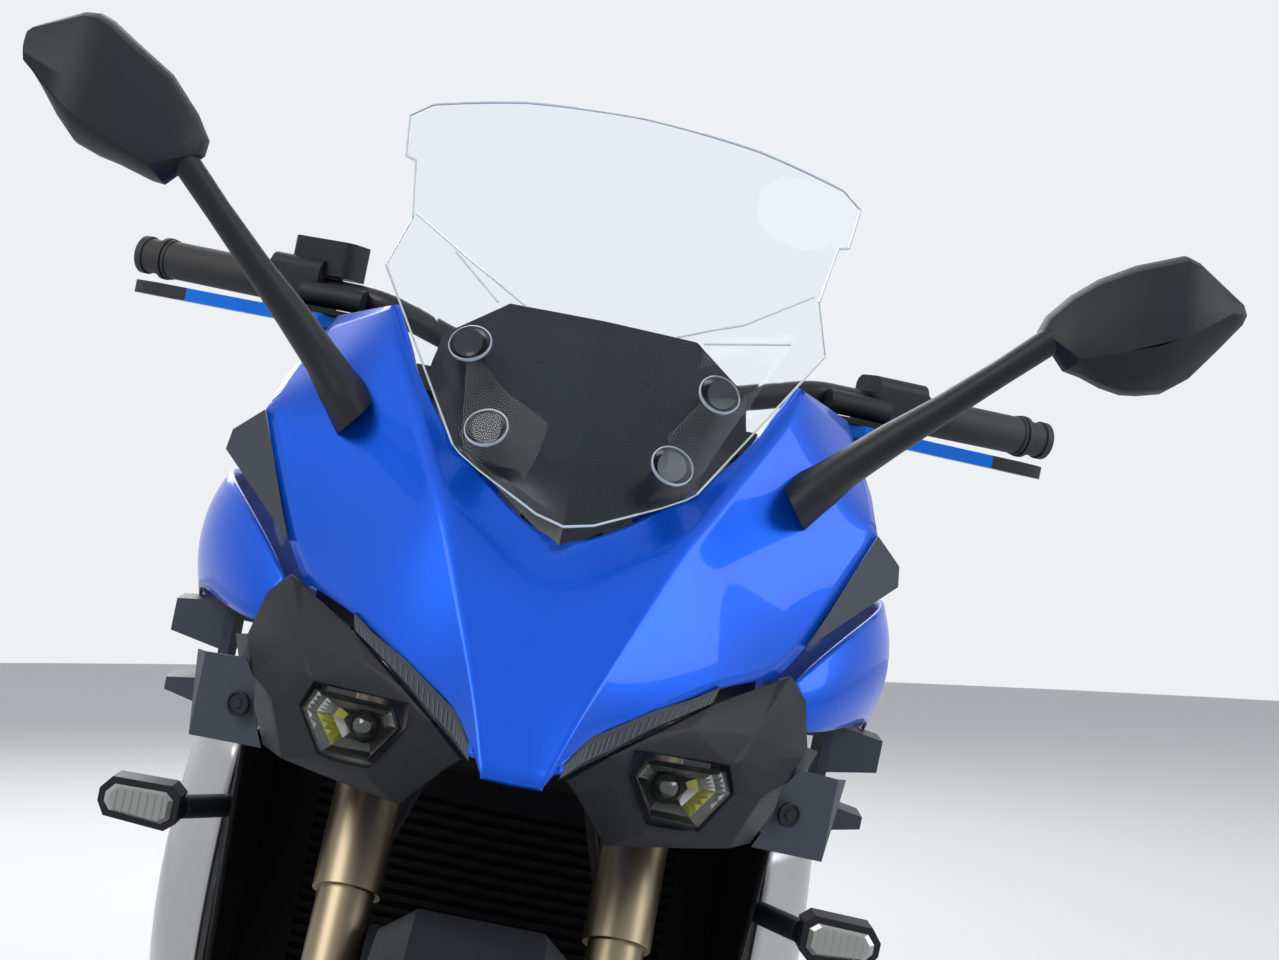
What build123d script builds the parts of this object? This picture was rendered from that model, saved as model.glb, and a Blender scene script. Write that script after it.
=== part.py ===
from build123d import *
from math import acos, atan2, cos, degrees, hypot, radians, sin, tan
import os

# Sport touring motorcycle, about 2.1 m long, parked on its side stand.
# Axes while modelling: x to the rider's left, y to the rear from the front axle, z up from the
# ground, machine upright with the bars straight. At the end every piece is leaned onto the stand.

# Overall dimensions
WHEELBASE = 1460
MACHINE_LENGTH_BEHIND = 1840     # from the front axle to the rear edge of the plate bracket
LEAN = 10                        # degrees that the machine leans to the left on its stand
MIRROR_TIP_X = 474
MIRROR_TIP_Z = 1166

# Fits
SEAT_GAP = 0.3                   # between a piece and what carries it
BEARING_GAP = 0.3                # between a pin and its bush

# Steering geometry
RAKE = 25                        # degrees from the vertical
TRAIL = 100
STEERING_LOCK = 31               # degrees each way
FORK_SPREAD = 206                # between the fork tubes' centres
FORK_OFFSET = 30                 # of the fork tubes ahead of the steering axis

# Front wheel
FRONT_RADIUS = 300
FRONT_WIDTH = 120
FRONT_CROWN_RADIUS = 60
FRONT_RIM_WIDTH = 90
FRONT_AXLE_RADIUS = 12.5
FRONT_AXLE_BORE = 9
FRONT_DISC_RADIUS = 155
FRONT_DISC_X = 64
DISC_THICKNESS = 5

# Rear wheel
REAR_RADIUS = 311
REAR_WIDTH = 190
REAR_CROWN_RADIUS = 100
REAR_RIM_WIDTH = 152
REAR_AXLE_RADIUS = 14
REAR_DISC_RADIUS = 125
REAR_DISC_X = -104
SPROCKET_RADIUS = 108
SPROCKET_TEETH = 44
CHAIN_X = 110

# Rims
BEAD_RADIUS = 217.5
RIM_FLANGE = 10
RIM_WALL = 6
FRONT_RIM_FLARE = 3.8            # outward slant of each flange
REAR_RIM_FLARE = 6.6
RIM_LIP = 3
SPOKES = 6

# Fork and yokes
OUTER_TUBE_RADIUS = 26
INNER_TUBE_RADIUS = 21.5
STEM_RADIUS = 17
HEAD_TUBE_RADIUS = 36
LOWER_YOKE_UP = 826.154          # along the steering axis from the ground
LOWER_YOKE_THICK = 30
UPPER_YOKE_UP = 1052.154
UPPER_YOKE_THICK = 22

# Swingarm
PIVOT_Y = 885
PIVOT_Z = 420
PIVOT_BOLT_RADIUS = 10
SWINGARM_INNER_X = 130
PLATE_INNER_X = 126
PLATE_THICK = 20

PANEL = 4                        # wall of the moulded covers

# Places worked out from the sizes above
RAKE_SIN = sin(radians(RAKE))
RAKE_COS = cos(radians(RAKE))
AXLE_OFFSET = FRONT_RADIUS * RAKE_SIN - TRAIL * RAKE_COS
AXIS_FOOT = FRONT_RADIUS * RAKE_COS + TRAIL * RAKE_SIN
LOWER_YOKE_AT = LOWER_YOKE_UP - AXIS_FOOT      # from the axle's foot point on the steering axis
UPPER_YOKE_AT = UPPER_YOKE_UP - AXIS_FOOT
STEER = Plane(
    origin=(0, AXLE_OFFSET * RAKE_COS, FRONT_RADIUS - AXLE_OFFSET * RAKE_SIN),
    x_dir=(1, 0, 0),
    z_dir=(0, RAKE_SIN, RAKE_COS),
)
FRONT_AXLE = (0, 0, FRONT_RADIUS)
REAR_AXLE = (0, WHEELBASE, REAR_RADIUS)
FORK_X = FORK_SPREAD / 2
FORK_Y = -FORK_OFFSET            # in the steering plane's own axes
STEM_TOP = UPPER_YOKE_AT + UPPER_YOKE_THICK
HEAD_BOTTOM = LOWER_YOKE_AT + LOWER_YOKE_THICK + 3
HEAD_TOP = UPPER_YOKE_AT - 3
SIDES = (-1, 1)                  # rider's right, rider's left


def outline(plane, points):
    """Straight-edged closed face through points given in the plane's own axes."""
    with BuildSketch(plane) as face:
        with BuildLine():
            Polyline(*points, close=True)
        make_face()
    return face.sketch


def across(y):
    """Upright plane across the machine at y, with x and z as its axes."""
    return Plane(origin=(0, y, 0), x_dir=(1, 0, 0), z_dir=(0, -1, 0))


def along(x):
    """Upright plane along the machine at x, with y and z as its axes."""
    return Plane(origin=(x, 0, 0), x_dir=(0, 1, 0), z_dir=(1, 0, 0))


def level(z):
    """Horizontal plane at height z."""
    return Plane(origin=(0, 0, z), x_dir=(1, 0, 0), z_dir=(0, 0, 1))


def through(sections):
    """Ruled solid through (plane, points) sections with the same number of corners."""
    faces = [outline(plane, points).faces()[0] for plane, points in sections]
    with BuildPart() as body:
        loft(sections=faces, ruled=True)
    return body.part


def skin(sections, wall, shift):
    """Ruled thin panel: every open section is closed by its own copy moved by the wall."""
    closed = []
    for plane, points in sections:
        inner = [(a + wall * shift[0], b + wall * shift[1]) for a, b in reversed(points)]
        closed.append((plane, list(points) + inner))
    return through(closed)


def boxes(x0, x1, rows):
    """Ruled bar between two widths: rows of (y, z low, z high)."""
    return through([(across(y), [(x0, a), (x1, a), (x1, b), (x0, b)]) for y, a, b in rows])


def flared(rows):
    """Ruled bar of rectangular section: rows of (y, x inner, x outer, z low, z high)."""
    return through([(across(y), [(p, a), (q, a), (q, b), (p, b)]) for y, p, q, a, b in rows])


def slab(x0, x1, points):
    """Plate between two x places, its side outline in y and z."""
    with BuildPart() as body:
        extrude(outline(along(x0), points), amount=x1 - x0)
    return body.part


def rod(start, end, radius, bore=0):
    """Round bar or tube between two points."""
    axis = Vector(*end) - Vector(*start)
    with BuildPart() as body:
        with BuildSketch(Plane(origin=start, z_dir=axis.normalized())):
            Circle(radius)
            if bore:
                Circle(bore, mode=Mode.SUBTRACT)
        extrude(amount=axis.length)
    return body.part


def turned(centre, profile):
    """Ring turned about a wheel's axle, its profile in x and radius."""
    plane = Plane(origin=centre, x_dir=(1, 0, 0), z_dir=(0, -1, 0))
    with BuildPart() as body:
        with BuildSketch(plane):
            with BuildLine():
                Polyline(*profile, close=True)
            make_face()
        revolve(axis=Axis(centre, (1, 0, 0)))
    return body.part


def radial(centre, angle):
    """Plane through a wheel's axle whose second axis points outward, at an angle from the front."""
    a = radians(angle)
    return Plane(origin=centre, x_dir=(1, 0, 0), z_dir=(0, -sin(a), -cos(a)))


def swept(centre, start, stop, profile):
    """Part ring about a wheel's axle between two angles from the front, over the top."""
    with BuildPart() as body:
        with BuildSketch(radial(centre, start)):
            with BuildLine():
                Polyline(*profile, close=True)
            make_face()
        revolve(axis=Axis(centre, (-1, 0, 0)), revolution_arc=stop - start)
    return body.part


def seen_from_front(points):
    """Long bar along the machine whose outline, in x and z, is seen from the front."""
    with BuildPart() as body:
        extrude(outline(across(460), points), amount=640)
    return body.part


def flip(side, points):
    """Outline on the given side, its first numbers mirrored for the rider's right."""
    return [(side * a, *rest) for a, *rest in points]


def cut_out(body, cutter):
    """What a body and a cutter have in common."""
    with BuildPart() as common:
        add(body)
        add(cutter, mode=Mode.INTERSECT)
    return common.part


def from_rear_axle(points):
    """Side outline whose points are given from the rear axle's centre."""
    return [(WHEELBASE + y, REAR_RADIUS + z) for y, z in points]


def pair(body):
    """A piece and its mirror image on the other side of the machine."""
    return [body, body.mirror(Plane.YZ)]


# Tyres: tread band, shoulders and sidewalls down to the beads, solid to the rim
def tyre_profile(radius, width, crown, bead, turns):
    """Half and whole outline: the crown's first turn is the lean, where the tyre meets the ground."""
    centre = radius - crown
    right = [(crown * sin(radians(a)), centre + crown * cos(radians(a))) for a in turns]
    right[-1] = (width / 2, right[-1][1])
    right.append((bead, BEAD_RADIUS + SEAT_GAP))
    return [(-x, r) for x, r in reversed(right)] + right


with BuildPart() as front_tyre:
    add(turned(FRONT_AXLE, tyre_profile(
        FRONT_RADIUS, FRONT_WIDTH, FRONT_CROWN_RADIUS, FRONT_RIM_WIDTH / 2 - SEAT_GAP, (LEAN, 62))))
front_tyre.part.label = "front_tyre"

with BuildPart() as rear_tyre:
    add(turned(REAR_AXLE, tyre_profile(
        REAR_RADIUS, REAR_WIDTH, REAR_CROWN_RADIUS, REAR_RIM_WIDTH / 2 - SEAT_GAP, (LEAN, 68))))
rear_tyre.part.label = "rear_tyre"


# Cast rims: channel section, six tapered spokes, hub with disc seats
def rim(centre, width, flare, hub_radius, hub_left, hub_right, bore, spoke_thick):
    half = width / 2
    lip = BEAD_RADIUS + RIM_FLANGE
    inside = BEAD_RADIUS - 14
    plane = Plane(origin=centre, x_dir=(0, 1, 0), z_dir=(1, 0, 0))
    with BuildPart() as wheel:
        add(turned(centre, [
            (-half - RIM_WALL, inside + 6), (-half - flare - RIM_LIP, lip), (-half - flare, lip),
            (-half, BEAD_RADIUS), (half, BEAD_RADIUS), (half + flare, lip),
            (half + flare + RIM_LIP, lip), (half + RIM_WALL, inside + 6),
            (half - 14, inside), (-half + 14, inside)]))
        with BuildSketch(plane.offset(-spoke_thick / 2)):
            with PolarLocations(0, SPOKES):
                Polygon((hub_radius - 6, -17), (110, -13), (inside + 2, -34), (inside + 2, -20), (132, 0),
                        (inside + 2, 20), (inside + 2, 34), (110, 13), (hub_radius - 6, 17), align=None)
        extrude(amount=spoke_thick)
        with BuildSketch(plane.offset(hub_right)):
            Circle(hub_radius)
        extrude(amount=hub_left - hub_right)
        with BuildSketch(plane.offset(hub_right)):
            Circle(bore)
        extrude(amount=hub_left - hub_right, mode=Mode.SUBTRACT)
    return wheel.part


FRONT_HUB = FRONT_DISC_X - DISC_THICKNESS / 2 - SEAT_GAP
with BuildPart() as front_rim:
    add(rim(FRONT_AXLE, FRONT_RIM_WIDTH, FRONT_RIM_FLARE, 40, FRONT_HUB, -FRONT_HUB,
            FRONT_AXLE_RADIUS + BEARING_GAP, 26))
front_rim.part.label = "front_rim"

SPROCKET_THICK = 6
with BuildPart() as rear_rim:
    add(rim(REAR_AXLE, REAR_RIM_WIDTH, REAR_RIM_FLARE, 60, CHAIN_X - SPROCKET_THICK / 2 - SEAT_GAP,
            REAR_DISC_X + DISC_THICKNESS / 2 + SEAT_GAP, REAR_AXLE_RADIUS + BEARING_GAP, 34))
rear_rim.part.label = "rear_rim"


# Brake discs: a ring on five arms, bolted to the hub's end faces
def brake_disc(centre, x, radius, band, hub_radius, bore):
    plane = Plane(origin=centre, x_dir=(0, 1, 0), z_dir=(1, 0, 0)).offset(x - DISC_THICKNESS / 2)
    with BuildPart() as disc:
        with BuildSketch(plane):
            Circle(radius)
            Circle(radius - band, mode=Mode.SUBTRACT)
            with PolarLocations(0, 5):
                Polygon((bore, -15), (radius - band / 2, -8), (radius - band / 2, 8), (bore, 15),
                        align=None)
            Circle(hub_radius)
            Circle(bore, mode=Mode.SUBTRACT)
        extrude(amount=DISC_THICKNESS)
    return disc.part


with BuildPart() as front_discs:
    for side in SIDES:
        add(brake_disc(FRONT_AXLE, side * FRONT_DISC_X, FRONT_DISC_RADIUS, 36, 48, 32))
front_discs.part.label = "front_discs"

with BuildPart() as rear_disc:
    add(brake_disc(REAR_AXLE, REAR_DISC_X, REAR_DISC_RADIUS, 34, 58, 36))
rear_disc.part.label = "rear_disc"

# Rear sprocket with open arms, its teeth as a toothed ring
TOOTH_HEIGHT = 4
with BuildPart() as rear_sprocket:
    with BuildSketch(Plane(origin=REAR_AXLE, x_dir=(0, 1, 0), z_dir=(1, 0, 0)).offset(CHAIN_X - 3)):
        Circle(SPROCKET_RADIUS - TOOTH_HEIGHT)
        with PolarLocations(SPROCKET_RADIUS - TOOTH_HEIGHT - 0.5, SPROCKET_TEETH):
            Polygon((0, -4), (TOOTH_HEIGHT + 0.5, -1.5), (TOOTH_HEIGHT + 0.5, 1.5), (0, 4), align=None)
        with PolarLocations(74, 6):
            Circle(17, mode=Mode.SUBTRACT)
        Circle(38, mode=Mode.SUBTRACT)
    extrude(amount=SPROCKET_THICK)
rear_sprocket.part.label = "rear_sprocket"


# Chain: two closed bands of side plates that straddle the sprocket teeth
FRONT_SPROCKET_RADIUS = 34
FRONT_SPROCKET = (CHAIN_X, 800, 440)
CHAIN_HEIGHT = 15


def chain_loop(grow):
    """Side outline of the chain: two straight runs, and straight links round both sprockets."""
    dy = WHEELBASE - FRONT_SPROCKET[1]
    dz = REAR_RADIUS - FRONT_SPROCKET[2]
    slope = degrees(atan2(dz, dy))
    wrap = degrees(acos((FRONT_SPROCKET_RADIUS - SPROCKET_RADIUS) / hypot(dy, dz)))
    points = []
    for y, z, radius, start, sweep_angle, links in (
            (WHEELBASE, REAR_RADIUS, SPROCKET_RADIUS, slope - wrap, 2 * wrap, REAR_LINKS),
            (*FRONT_SPROCKET[1:], FRONT_SPROCKET_RADIUS, slope + wrap, 360 - 2 * wrap, FRONT_LINKS)):
        for i in range(links + 1):
            angle = radians(start + sweep_angle * i / links)
            points.append((y + (radius + grow) * cos(angle), z + (radius + grow) * sin(angle)))
    return points


REAR_LINKS = 14                  # straight links round the rear sprocket
FRONT_LINKS = 6
CHAIN_PINS = 5                   # pins shown on each straight run
CHAIN_PIN_RADIUS = 3
FRONT_WRAP_PINS = 4
CHAIN_PLATE = 2
CHAIN_HALF = 9                   # half width over the side plates
with BuildPart() as chain:
    for x in (CHAIN_X - CHAIN_HALF, CHAIN_X + CHAIN_HALF - CHAIN_PLATE):
        extrude(outline(along(x), chain_loop(CHAIN_HEIGHT / 2)), amount=CHAIN_PLATE)
        extrude(outline(along(x), chain_loop(-CHAIN_HEIGHT / 2)), amount=CHAIN_PLATE, mode=Mode.SUBTRACT)
    with BuildSketch(along(CHAIN_X - CHAIN_HALF + CHAIN_PLATE / 2)):
        for side in SIDES:
            for i in range(CHAIN_PINS):
                f = 0.08 + 0.74 * i / (CHAIN_PINS - 1)
                y = FRONT_SPROCKET[1] + f * (WHEELBASE - FRONT_SPROCKET[1])
                radius = FRONT_SPROCKET_RADIUS + f * (SPROCKET_RADIUS - FRONT_SPROCKET_RADIUS)
                z = FRONT_SPROCKET[2] + f * (REAR_RADIUS - FRONT_SPROCKET[2]) + side * radius
                with Locations((y, z)):
                    RegularPolygon(CHAIN_PIN_RADIUS, 3, rotation=180)
        with Locations((FRONT_SPROCKET[1], FRONT_SPROCKET[2])):
            with PolarLocations(FRONT_SPROCKET_RADIUS + SEAT_GAP, FRONT_WRAP_PINS, 110, 140):
                RegularPolygon(CHAIN_PIN_RADIUS, 3, rotation=180)
    extrude(amount=2 * CHAIN_HALF - CHAIN_PLATE)
chain.part.label = "chain"


# Front calipers bridge the discs behind the fork legs
CALIPER_SLOT = DISC_THICKNESS / 2 + 5
CALIPER_HALF = 22
CALIPER_INSIDE = 112
CALIPER_OUTSIDE = 170
CALIPER_BRIDGE = 162
CALIPER_FROM = 134
CALIPER_TO = 174

# Fork legs: gold outer tubes above, slim inner tubes below, and feet bored for the axle
OUTER_TUBE_FROM = 330
FOOT_REACH = 16
FOOT_WIDTH = 44
with BuildPart() as fork_legs:
    for side in SIDES:
        with BuildSketch(STEER.offset(OUTER_TUBE_FROM)):
            with Locations((side * FORK_X, FORK_Y)):
                Circle(OUTER_TUBE_RADIUS)
        extrude(amount=STEM_TOP + 8 - OUTER_TUBE_FROM)
        with BuildSketch(STEER.offset(20)):
            with Locations((side * FORK_X, FORK_Y)):
                Circle(INNER_TUBE_RADIUS)
        extrude(amount=OUTER_TUBE_FROM - 20)
        with BuildSketch(STEER.offset(-FOOT_REACH - 8)):
            with Locations((side * FORK_X, FORK_Y)):
                RectangleRounded(FOOT_WIDTH, 58, 8)
        extrude(amount=95)
        ear = side * (FRONT_DISC_X + CALIPER_HALF + SEAT_GAP)
        add(slab(*sorted((ear, ear + side * 14)), [
            (12, 322), (60, 338), (108, 346), (108, 404), (88, 418), (60, 396), (40, 390)]))
    with BuildSketch(along(-FORK_X - FOOT_WIDTH)):
        with Locations((0, FRONT_RADIUS)):
            Circle(FRONT_AXLE_RADIUS + SEAT_GAP)
    extrude(amount=FORK_SPREAD + 2 * FOOT_WIDTH, mode=Mode.SUBTRACT)
fork_legs.part.label = "fork_legs"

# Front axle: hollow, with a collar against the outside of each foot
AXLE_COLLAR_RADIUS = 17
AXLE_COLLAR_THICK = 5
AXLE_COLLAR_X = FORK_X + FOOT_WIDTH / 2 + SEAT_GAP
with BuildPart() as front_axle:
    for x0, length, radius in (
            (-AXLE_COLLAR_X - AXLE_COLLAR_THICK, AXLE_COLLAR_THICK, AXLE_COLLAR_RADIUS),
            (-AXLE_COLLAR_X, 2 * AXLE_COLLAR_X, FRONT_AXLE_RADIUS),
            (AXLE_COLLAR_X, AXLE_COLLAR_THICK, AXLE_COLLAR_RADIUS)):
        with BuildSketch(along(x0)):
            with Locations((0, FRONT_RADIUS)):
                Circle(radius)
                Circle(FRONT_AXLE_BORE, mode=Mode.SUBTRACT)
        extrude(amount=length)
front_axle.part.label = "front_axle"

# Yokes: lower yoke with the stem, upper yoke plate
STEM_BORE = 8                    # radius of the blind hole that a lift stand's pin fits
STEM_BORE_DEPTH = LOWER_YOKE_THICK
with BuildPart() as yokes:
    for place, thick in ((LOWER_YOKE_AT, LOWER_YOKE_THICK), (UPPER_YOKE_AT, UPPER_YOKE_THICK)):
        with BuildSketch(STEER.offset(place)):
            Polygon((-FORK_X - 38, -62), (FORK_X + 38, -62), (FORK_X + 38, 0), (50, 34), (-50, 34),
                    (-FORK_X - 38, 0), align=None)
            with Locations((-FORK_X, FORK_Y), (FORK_X, FORK_Y)):
                Circle(OUTER_TUBE_RADIUS + 0.1, mode=Mode.SUBTRACT)
        extrude(amount=thick)
    with BuildSketch(STEER.offset(LOWER_YOKE_AT)):
        Circle(STEM_RADIUS)
    extrude(amount=STEM_TOP + 12 - LOWER_YOKE_AT)
    with BuildSketch(STEER.offset(LOWER_YOKE_AT)):
        Circle(STEM_BORE)
    extrude(amount=STEM_BORE_DEPTH, mode=Mode.SUBTRACT)
yokes.part.label = "yokes"

# Handlebar: one bent tube in two clamps on the upper yoke
BAR_RADIUS = 11
BAR_END = Vector(407, 485, 1051)
BAR_BEND = Vector(186, 376, 1046)
BAR_SHOULDER = Vector(70, BAR_BEND.Y + 2, 1012)
GRIP_DIR = (BAR_END - BAR_BEND).normalized()


def grip_plane(side, distance):
    """Plane square to the bar, a distance inward from the bar's end."""
    place = BAR_END - GRIP_DIR * distance
    return Plane(origin=(side * place.X, place.Y, place.Z),
                 x_dir=(0, 0, 1), z_dir=(side * GRIP_DIR.X, GRIP_DIR.Y, GRIP_DIR.Z))


with BuildPart() as handlebar:
    with BuildLine() as bar_path:
        FilletPolyline(
            (-BAR_END.X, BAR_END.Y, BAR_END.Z), (-BAR_BEND.X, BAR_BEND.Y, BAR_BEND.Z),
            (-BAR_SHOULDER.X, BAR_SHOULDER.Y, BAR_SHOULDER.Z),
            (BAR_SHOULDER.X, BAR_SHOULDER.Y, BAR_SHOULDER.Z),
            (BAR_BEND.X, BAR_BEND.Y, BAR_BEND.Z), (BAR_END.X, BAR_END.Y, BAR_END.Z), radius=55)
    with BuildSketch(Plane(origin=bar_path.line @ 0, z_dir=bar_path.line % 0)):
        Circle(BAR_RADIUS)
    sweep()
    for side in SIDES:
        add(slab(side * 45 - 16, side * 45 + 16, [
            (BAR_SHOULDER.Y - 30, 976.7), (BAR_SHOULDER.Y + 8, 959), (BAR_SHOULDER.Y + 20, 1000),
            (BAR_SHOULDER.Y + 20, 1026), (BAR_SHOULDER.Y - 20, 1026), (BAR_SHOULDER.Y - 26, 1000)]))
handlebar.part.label = "handlebar"

# Grips with their end weights
GRIP_RADIUS = 16.5
GRIP_LENGTH = 118
WEIGHT_LENGTH = 24
with BuildPart() as grips:
    for side in SIDES:
        with BuildSketch(grip_plane(side, WEIGHT_LENGTH + GRIP_LENGTH)):
            Circle(GRIP_RADIUS)
            Circle(BAR_RADIUS + 0.1, mode=Mode.SUBTRACT)
        extrude(amount=GRIP_LENGTH)
        with BuildSketch(grip_plane(side, WEIGHT_LENGTH)):
            Circle(GRIP_RADIUS - 1.5)
            Circle(BAR_RADIUS + 0.1, mode=Mode.SUBTRACT)
        extrude(amount=WEIGHT_LENGTH)
grips.part.label = "grips"

# Switchgear: clamp housings with the lever perches and master cylinders, the reservoir on the right
SWITCH_LENGTH = 50
LEVER_THICK = 11
LEVER_Z = 1020
LEVER_PIN = 4
LEVER_PIVOT = (228, BAR_BEND.Y - 14)


def perch(side, points):
    """Flat outline on one side, its depth counted from the bar's bend."""
    with BuildSketch(level(LEVER_Z - LEVER_THICK / 2)) as face:
        with BuildLine():
            Polyline(*[(side * x, BAR_BEND.Y + y) for x, y in points], close=True)
        make_face()
    return face.sketch


with BuildPart() as switchgear:
    for side in SIDES:
        with BuildSketch(grip_plane(side, WEIGHT_LENGTH + GRIP_LENGTH + 1 + SWITCH_LENGTH)):
            RectangleRounded(50, 40, 10)
            Circle(BAR_RADIUS + 0.1, mode=Mode.SUBTRACT)
        extrude(amount=SWITCH_LENGTH)
        clamp = perch(side, [(204, -28), (244, -28), (254, -2), (256, 24), (204, 18)])
        extrude(clamp.moved(Location((0, 0, -5))), amount=LEVER_THICK + 10)
        add(rod((side * 198, BAR_BEND.Y - 12, LEVER_Z + 22), (side * 252, BAR_BEND.Y + 6, LEVER_Z + 22),
                10))
        slot = perch(side, [(200, -34), (262, -34), (262, 3), (200, 3)])
        extrude(slot.moved(Location((0, 0, -SEAT_GAP))), amount=LEVER_THICK + 2 * SEAT_GAP,
                mode=Mode.SUBTRACT)
        with BuildSketch(level(LEVER_Z - LEVER_THICK / 2 - 5)):
            with Locations((side * LEVER_PIVOT[0], LEVER_PIVOT[1])):
                Circle(LEVER_PIN)
        extrude(amount=LEVER_THICK + 10)
    with BuildSketch(Plane(origin=(-238, BAR_BEND.Y + 33, LEVER_Z + 40), x_dir=(-GRIP_DIR.X, GRIP_DIR.Y, 0),
                           z_dir=(0, 0, 1))):
        RectangleRounded(60, 36, 9)
    extrude(amount=30)
    add(handlebar.part, mode=Mode.SUBTRACT)
switchgear.part.label = "switchgear"

# Levers: flat tapered blades with a hooked, slotted tip and an adjuster wheel at the pivot
with BuildPart() as levers:
    for side in SIDES:
        extrude(perch(side, [
            (212, -12), (232, -30), (250, -25), (298, 0), (350, 17), (376, 25), (392, 38), (398, 46),
            (390, 50),
            (372, 41), (340, 31), (292, 14), (262, 3), (250, -2), (224, 2)]), amount=LEVER_THICK)
        extrude(perch(side, [(358, 24), (376, 30), (385, 39), (372, 34), (358, 30)]), amount=LEVER_THICK,
                mode=Mode.SUBTRACT)
        with BuildSketch(level(LEVER_Z - LEVER_THICK / 2)):
            with Locations((side * LEVER_PIVOT[0], LEVER_PIVOT[1])):
                Circle(LEVER_PIN + 0.2)
        extrude(amount=LEVER_THICK, mode=Mode.SUBTRACT)
levers.part.label = "levers"

# Front mudguard: channel over the tyre between the fork legs, with ears against the legs
GUARD_RADIUS = FRONT_RADIUS + 14
GUARD_HALF = 67
GUARD_WALL = 3
GUARD_FROM = 42
GUARD_TO = 165
with BuildPart() as front_mudguard:
    ring = [(GUARD_HALF, 266), (GUARD_HALF, 296), (44, GUARD_RADIUS)]
    lip = [(46, GUARD_RADIUS + GUARD_WALL), (GUARD_HALF + GUARD_WALL, 298), (GUARD_HALF + GUARD_WALL, 266)]
    profile = ring + [(-x, r) for x, r in reversed(ring)] + [(-x, r) for x, r in reversed(lip)] + lip
    add(swept(FRONT_AXLE, GUARD_FROM, GUARD_TO, profile))
    for side in SIDES:
        inner = side * (GUARD_HALF + 1)
        outer = side * (FORK_X - INNER_TUBE_RADIUS - SEAT_GAP)
        add(slab(*sorted((inner, outer)), [(96, 548), (112, 540), (150, 566), (134, 580)]))
front_mudguard.part.label = "front_mudguard"



# Brake calipers: blocks slotted over the disc, bridged outside it
def caliper_profile(x, inside, bridge, outside):
    return [(x - CALIPER_HALF, inside), (x - CALIPER_HALF, outside), (x + CALIPER_HALF, outside),
            (x + CALIPER_HALF, inside), (x + CALIPER_SLOT, inside), (x + CALIPER_SLOT, bridge),
            (x - CALIPER_SLOT, bridge), (x - CALIPER_SLOT, inside)]


with BuildPart() as front_calipers:
    for side in SIDES:
        profile = caliper_profile(side * FRONT_DISC_X, CALIPER_INSIDE, CALIPER_BRIDGE, CALIPER_OUTSIDE)
        add(swept(FRONT_AXLE, CALIPER_FROM, CALIPER_TO, profile))
front_calipers.part.label = "front_calipers"

# Side stand geometry: an inclined pin on the frame, the leg out and forward to the floor
STAND_X = 250
LIFT = REAR_CROWN_RADIUS * (1 - cos(radians(LEAN)))     # of the leaned rear tyre onto the ground
STAND_FOOT = Vector(STAND_X, 740, STAND_X * tan(radians(LEAN)) - LIFT / cos(radians(LEAN)))
STAND_PIVOT = Vector(158, 800, 262)
STAND_STOWED = Vector(188, 1040, 274)
STAND_PIN = 8
STAND_LEG = (STAND_FOOT - STAND_PIVOT).normalized()
STAND_LENGTH = (STAND_FOOT - STAND_PIVOT).length
STAND_AXIS = STAND_LEG.cross((STAND_STOWED - STAND_PIVOT).normalized()).normalized()

# Main frame: steering head, two beams round the engine, pivot plates and a beam under the tank
TANK_BEAM_Y = 505
TANK_FLOOR = 870
with BuildPart() as main_frame:
    with BuildSketch(STEER.offset(HEAD_BOTTOM)):
        Circle(HEAD_TUBE_RADIUS)
    extrude(amount=HEAD_TOP - HEAD_BOTTOM)
    for side in SIDES:
        beam = flared([
            (290, 8, 34, 812, 915), (372, 20, 54, 810, 912), (430, 64, 106, 796, 868),
            (492, 148, 188, 752, 848),
            (520, 170, 202, 752, 830), (560, 172, 202, 692, 808), (640, 172, 202, 632, 765),
            (800, 142, 170, 470, 650),
            (862, PLATE_INNER_X, 150, 400, 560)])
        add(beam if side > 0 else beam.mirror(Plane.YZ))
        low = PLATE_INNER_X if side > 0 else -PLATE_INNER_X - PLATE_THICK
        add(slab(low, low + PLATE_THICK, [
            (838, 540), (905, 520), (935, 440), (925, 345), (880, 300), (838, 330), (846, 440)]))
    add(boxes(-186, 186, [(TANK_BEAM_Y, 800, TANK_FLOOR - SEAT_GAP),
                          (TANK_BEAM_Y + 26, 800, TANK_FLOOR - SEAT_GAP)]))
    add(boxes(-PLATE_INNER_X, PLATE_INNER_X, [(846, 500, 535), (880, 500, 530)]))
    with BuildSketch(along(-PLATE_INNER_X - PLATE_THICK)):
        with Locations((PIVOT_Y, PIVOT_Z)):
            Circle(PIVOT_BOLT_RADIUS)
    extrude(amount=2 * (PLATE_INNER_X + PLATE_THICK))
    with BuildSketch(STEER.offset(HEAD_BOTTOM)):
        Circle(STEM_RADIUS + BEARING_GAP)
    extrude(amount=HEAD_TOP - HEAD_BOTTOM, mode=Mode.SUBTRACT)
    for side in SIDES:
        with BuildSketch(along(side * 168.3)):
            with Locations((600, 700)):
                Circle(16)
        extrude(amount=side * 5)
    add(slab(PLATE_INNER_X, PLATE_INNER_X + 10, [
        (786, 244), (812, 236), (890, 304), (846, 345), (786, 276)]))
    add(rod(STAND_PIVOT - STAND_AXIS * 8, STAND_PIVOT - STAND_AXIS * 22, 20))
    add(rod(STAND_PIVOT - STAND_AXIS * 16, STAND_PIVOT + STAND_AXIS * 10, STAND_PIN))
main_frame.part.label = "main_frame"

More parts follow.
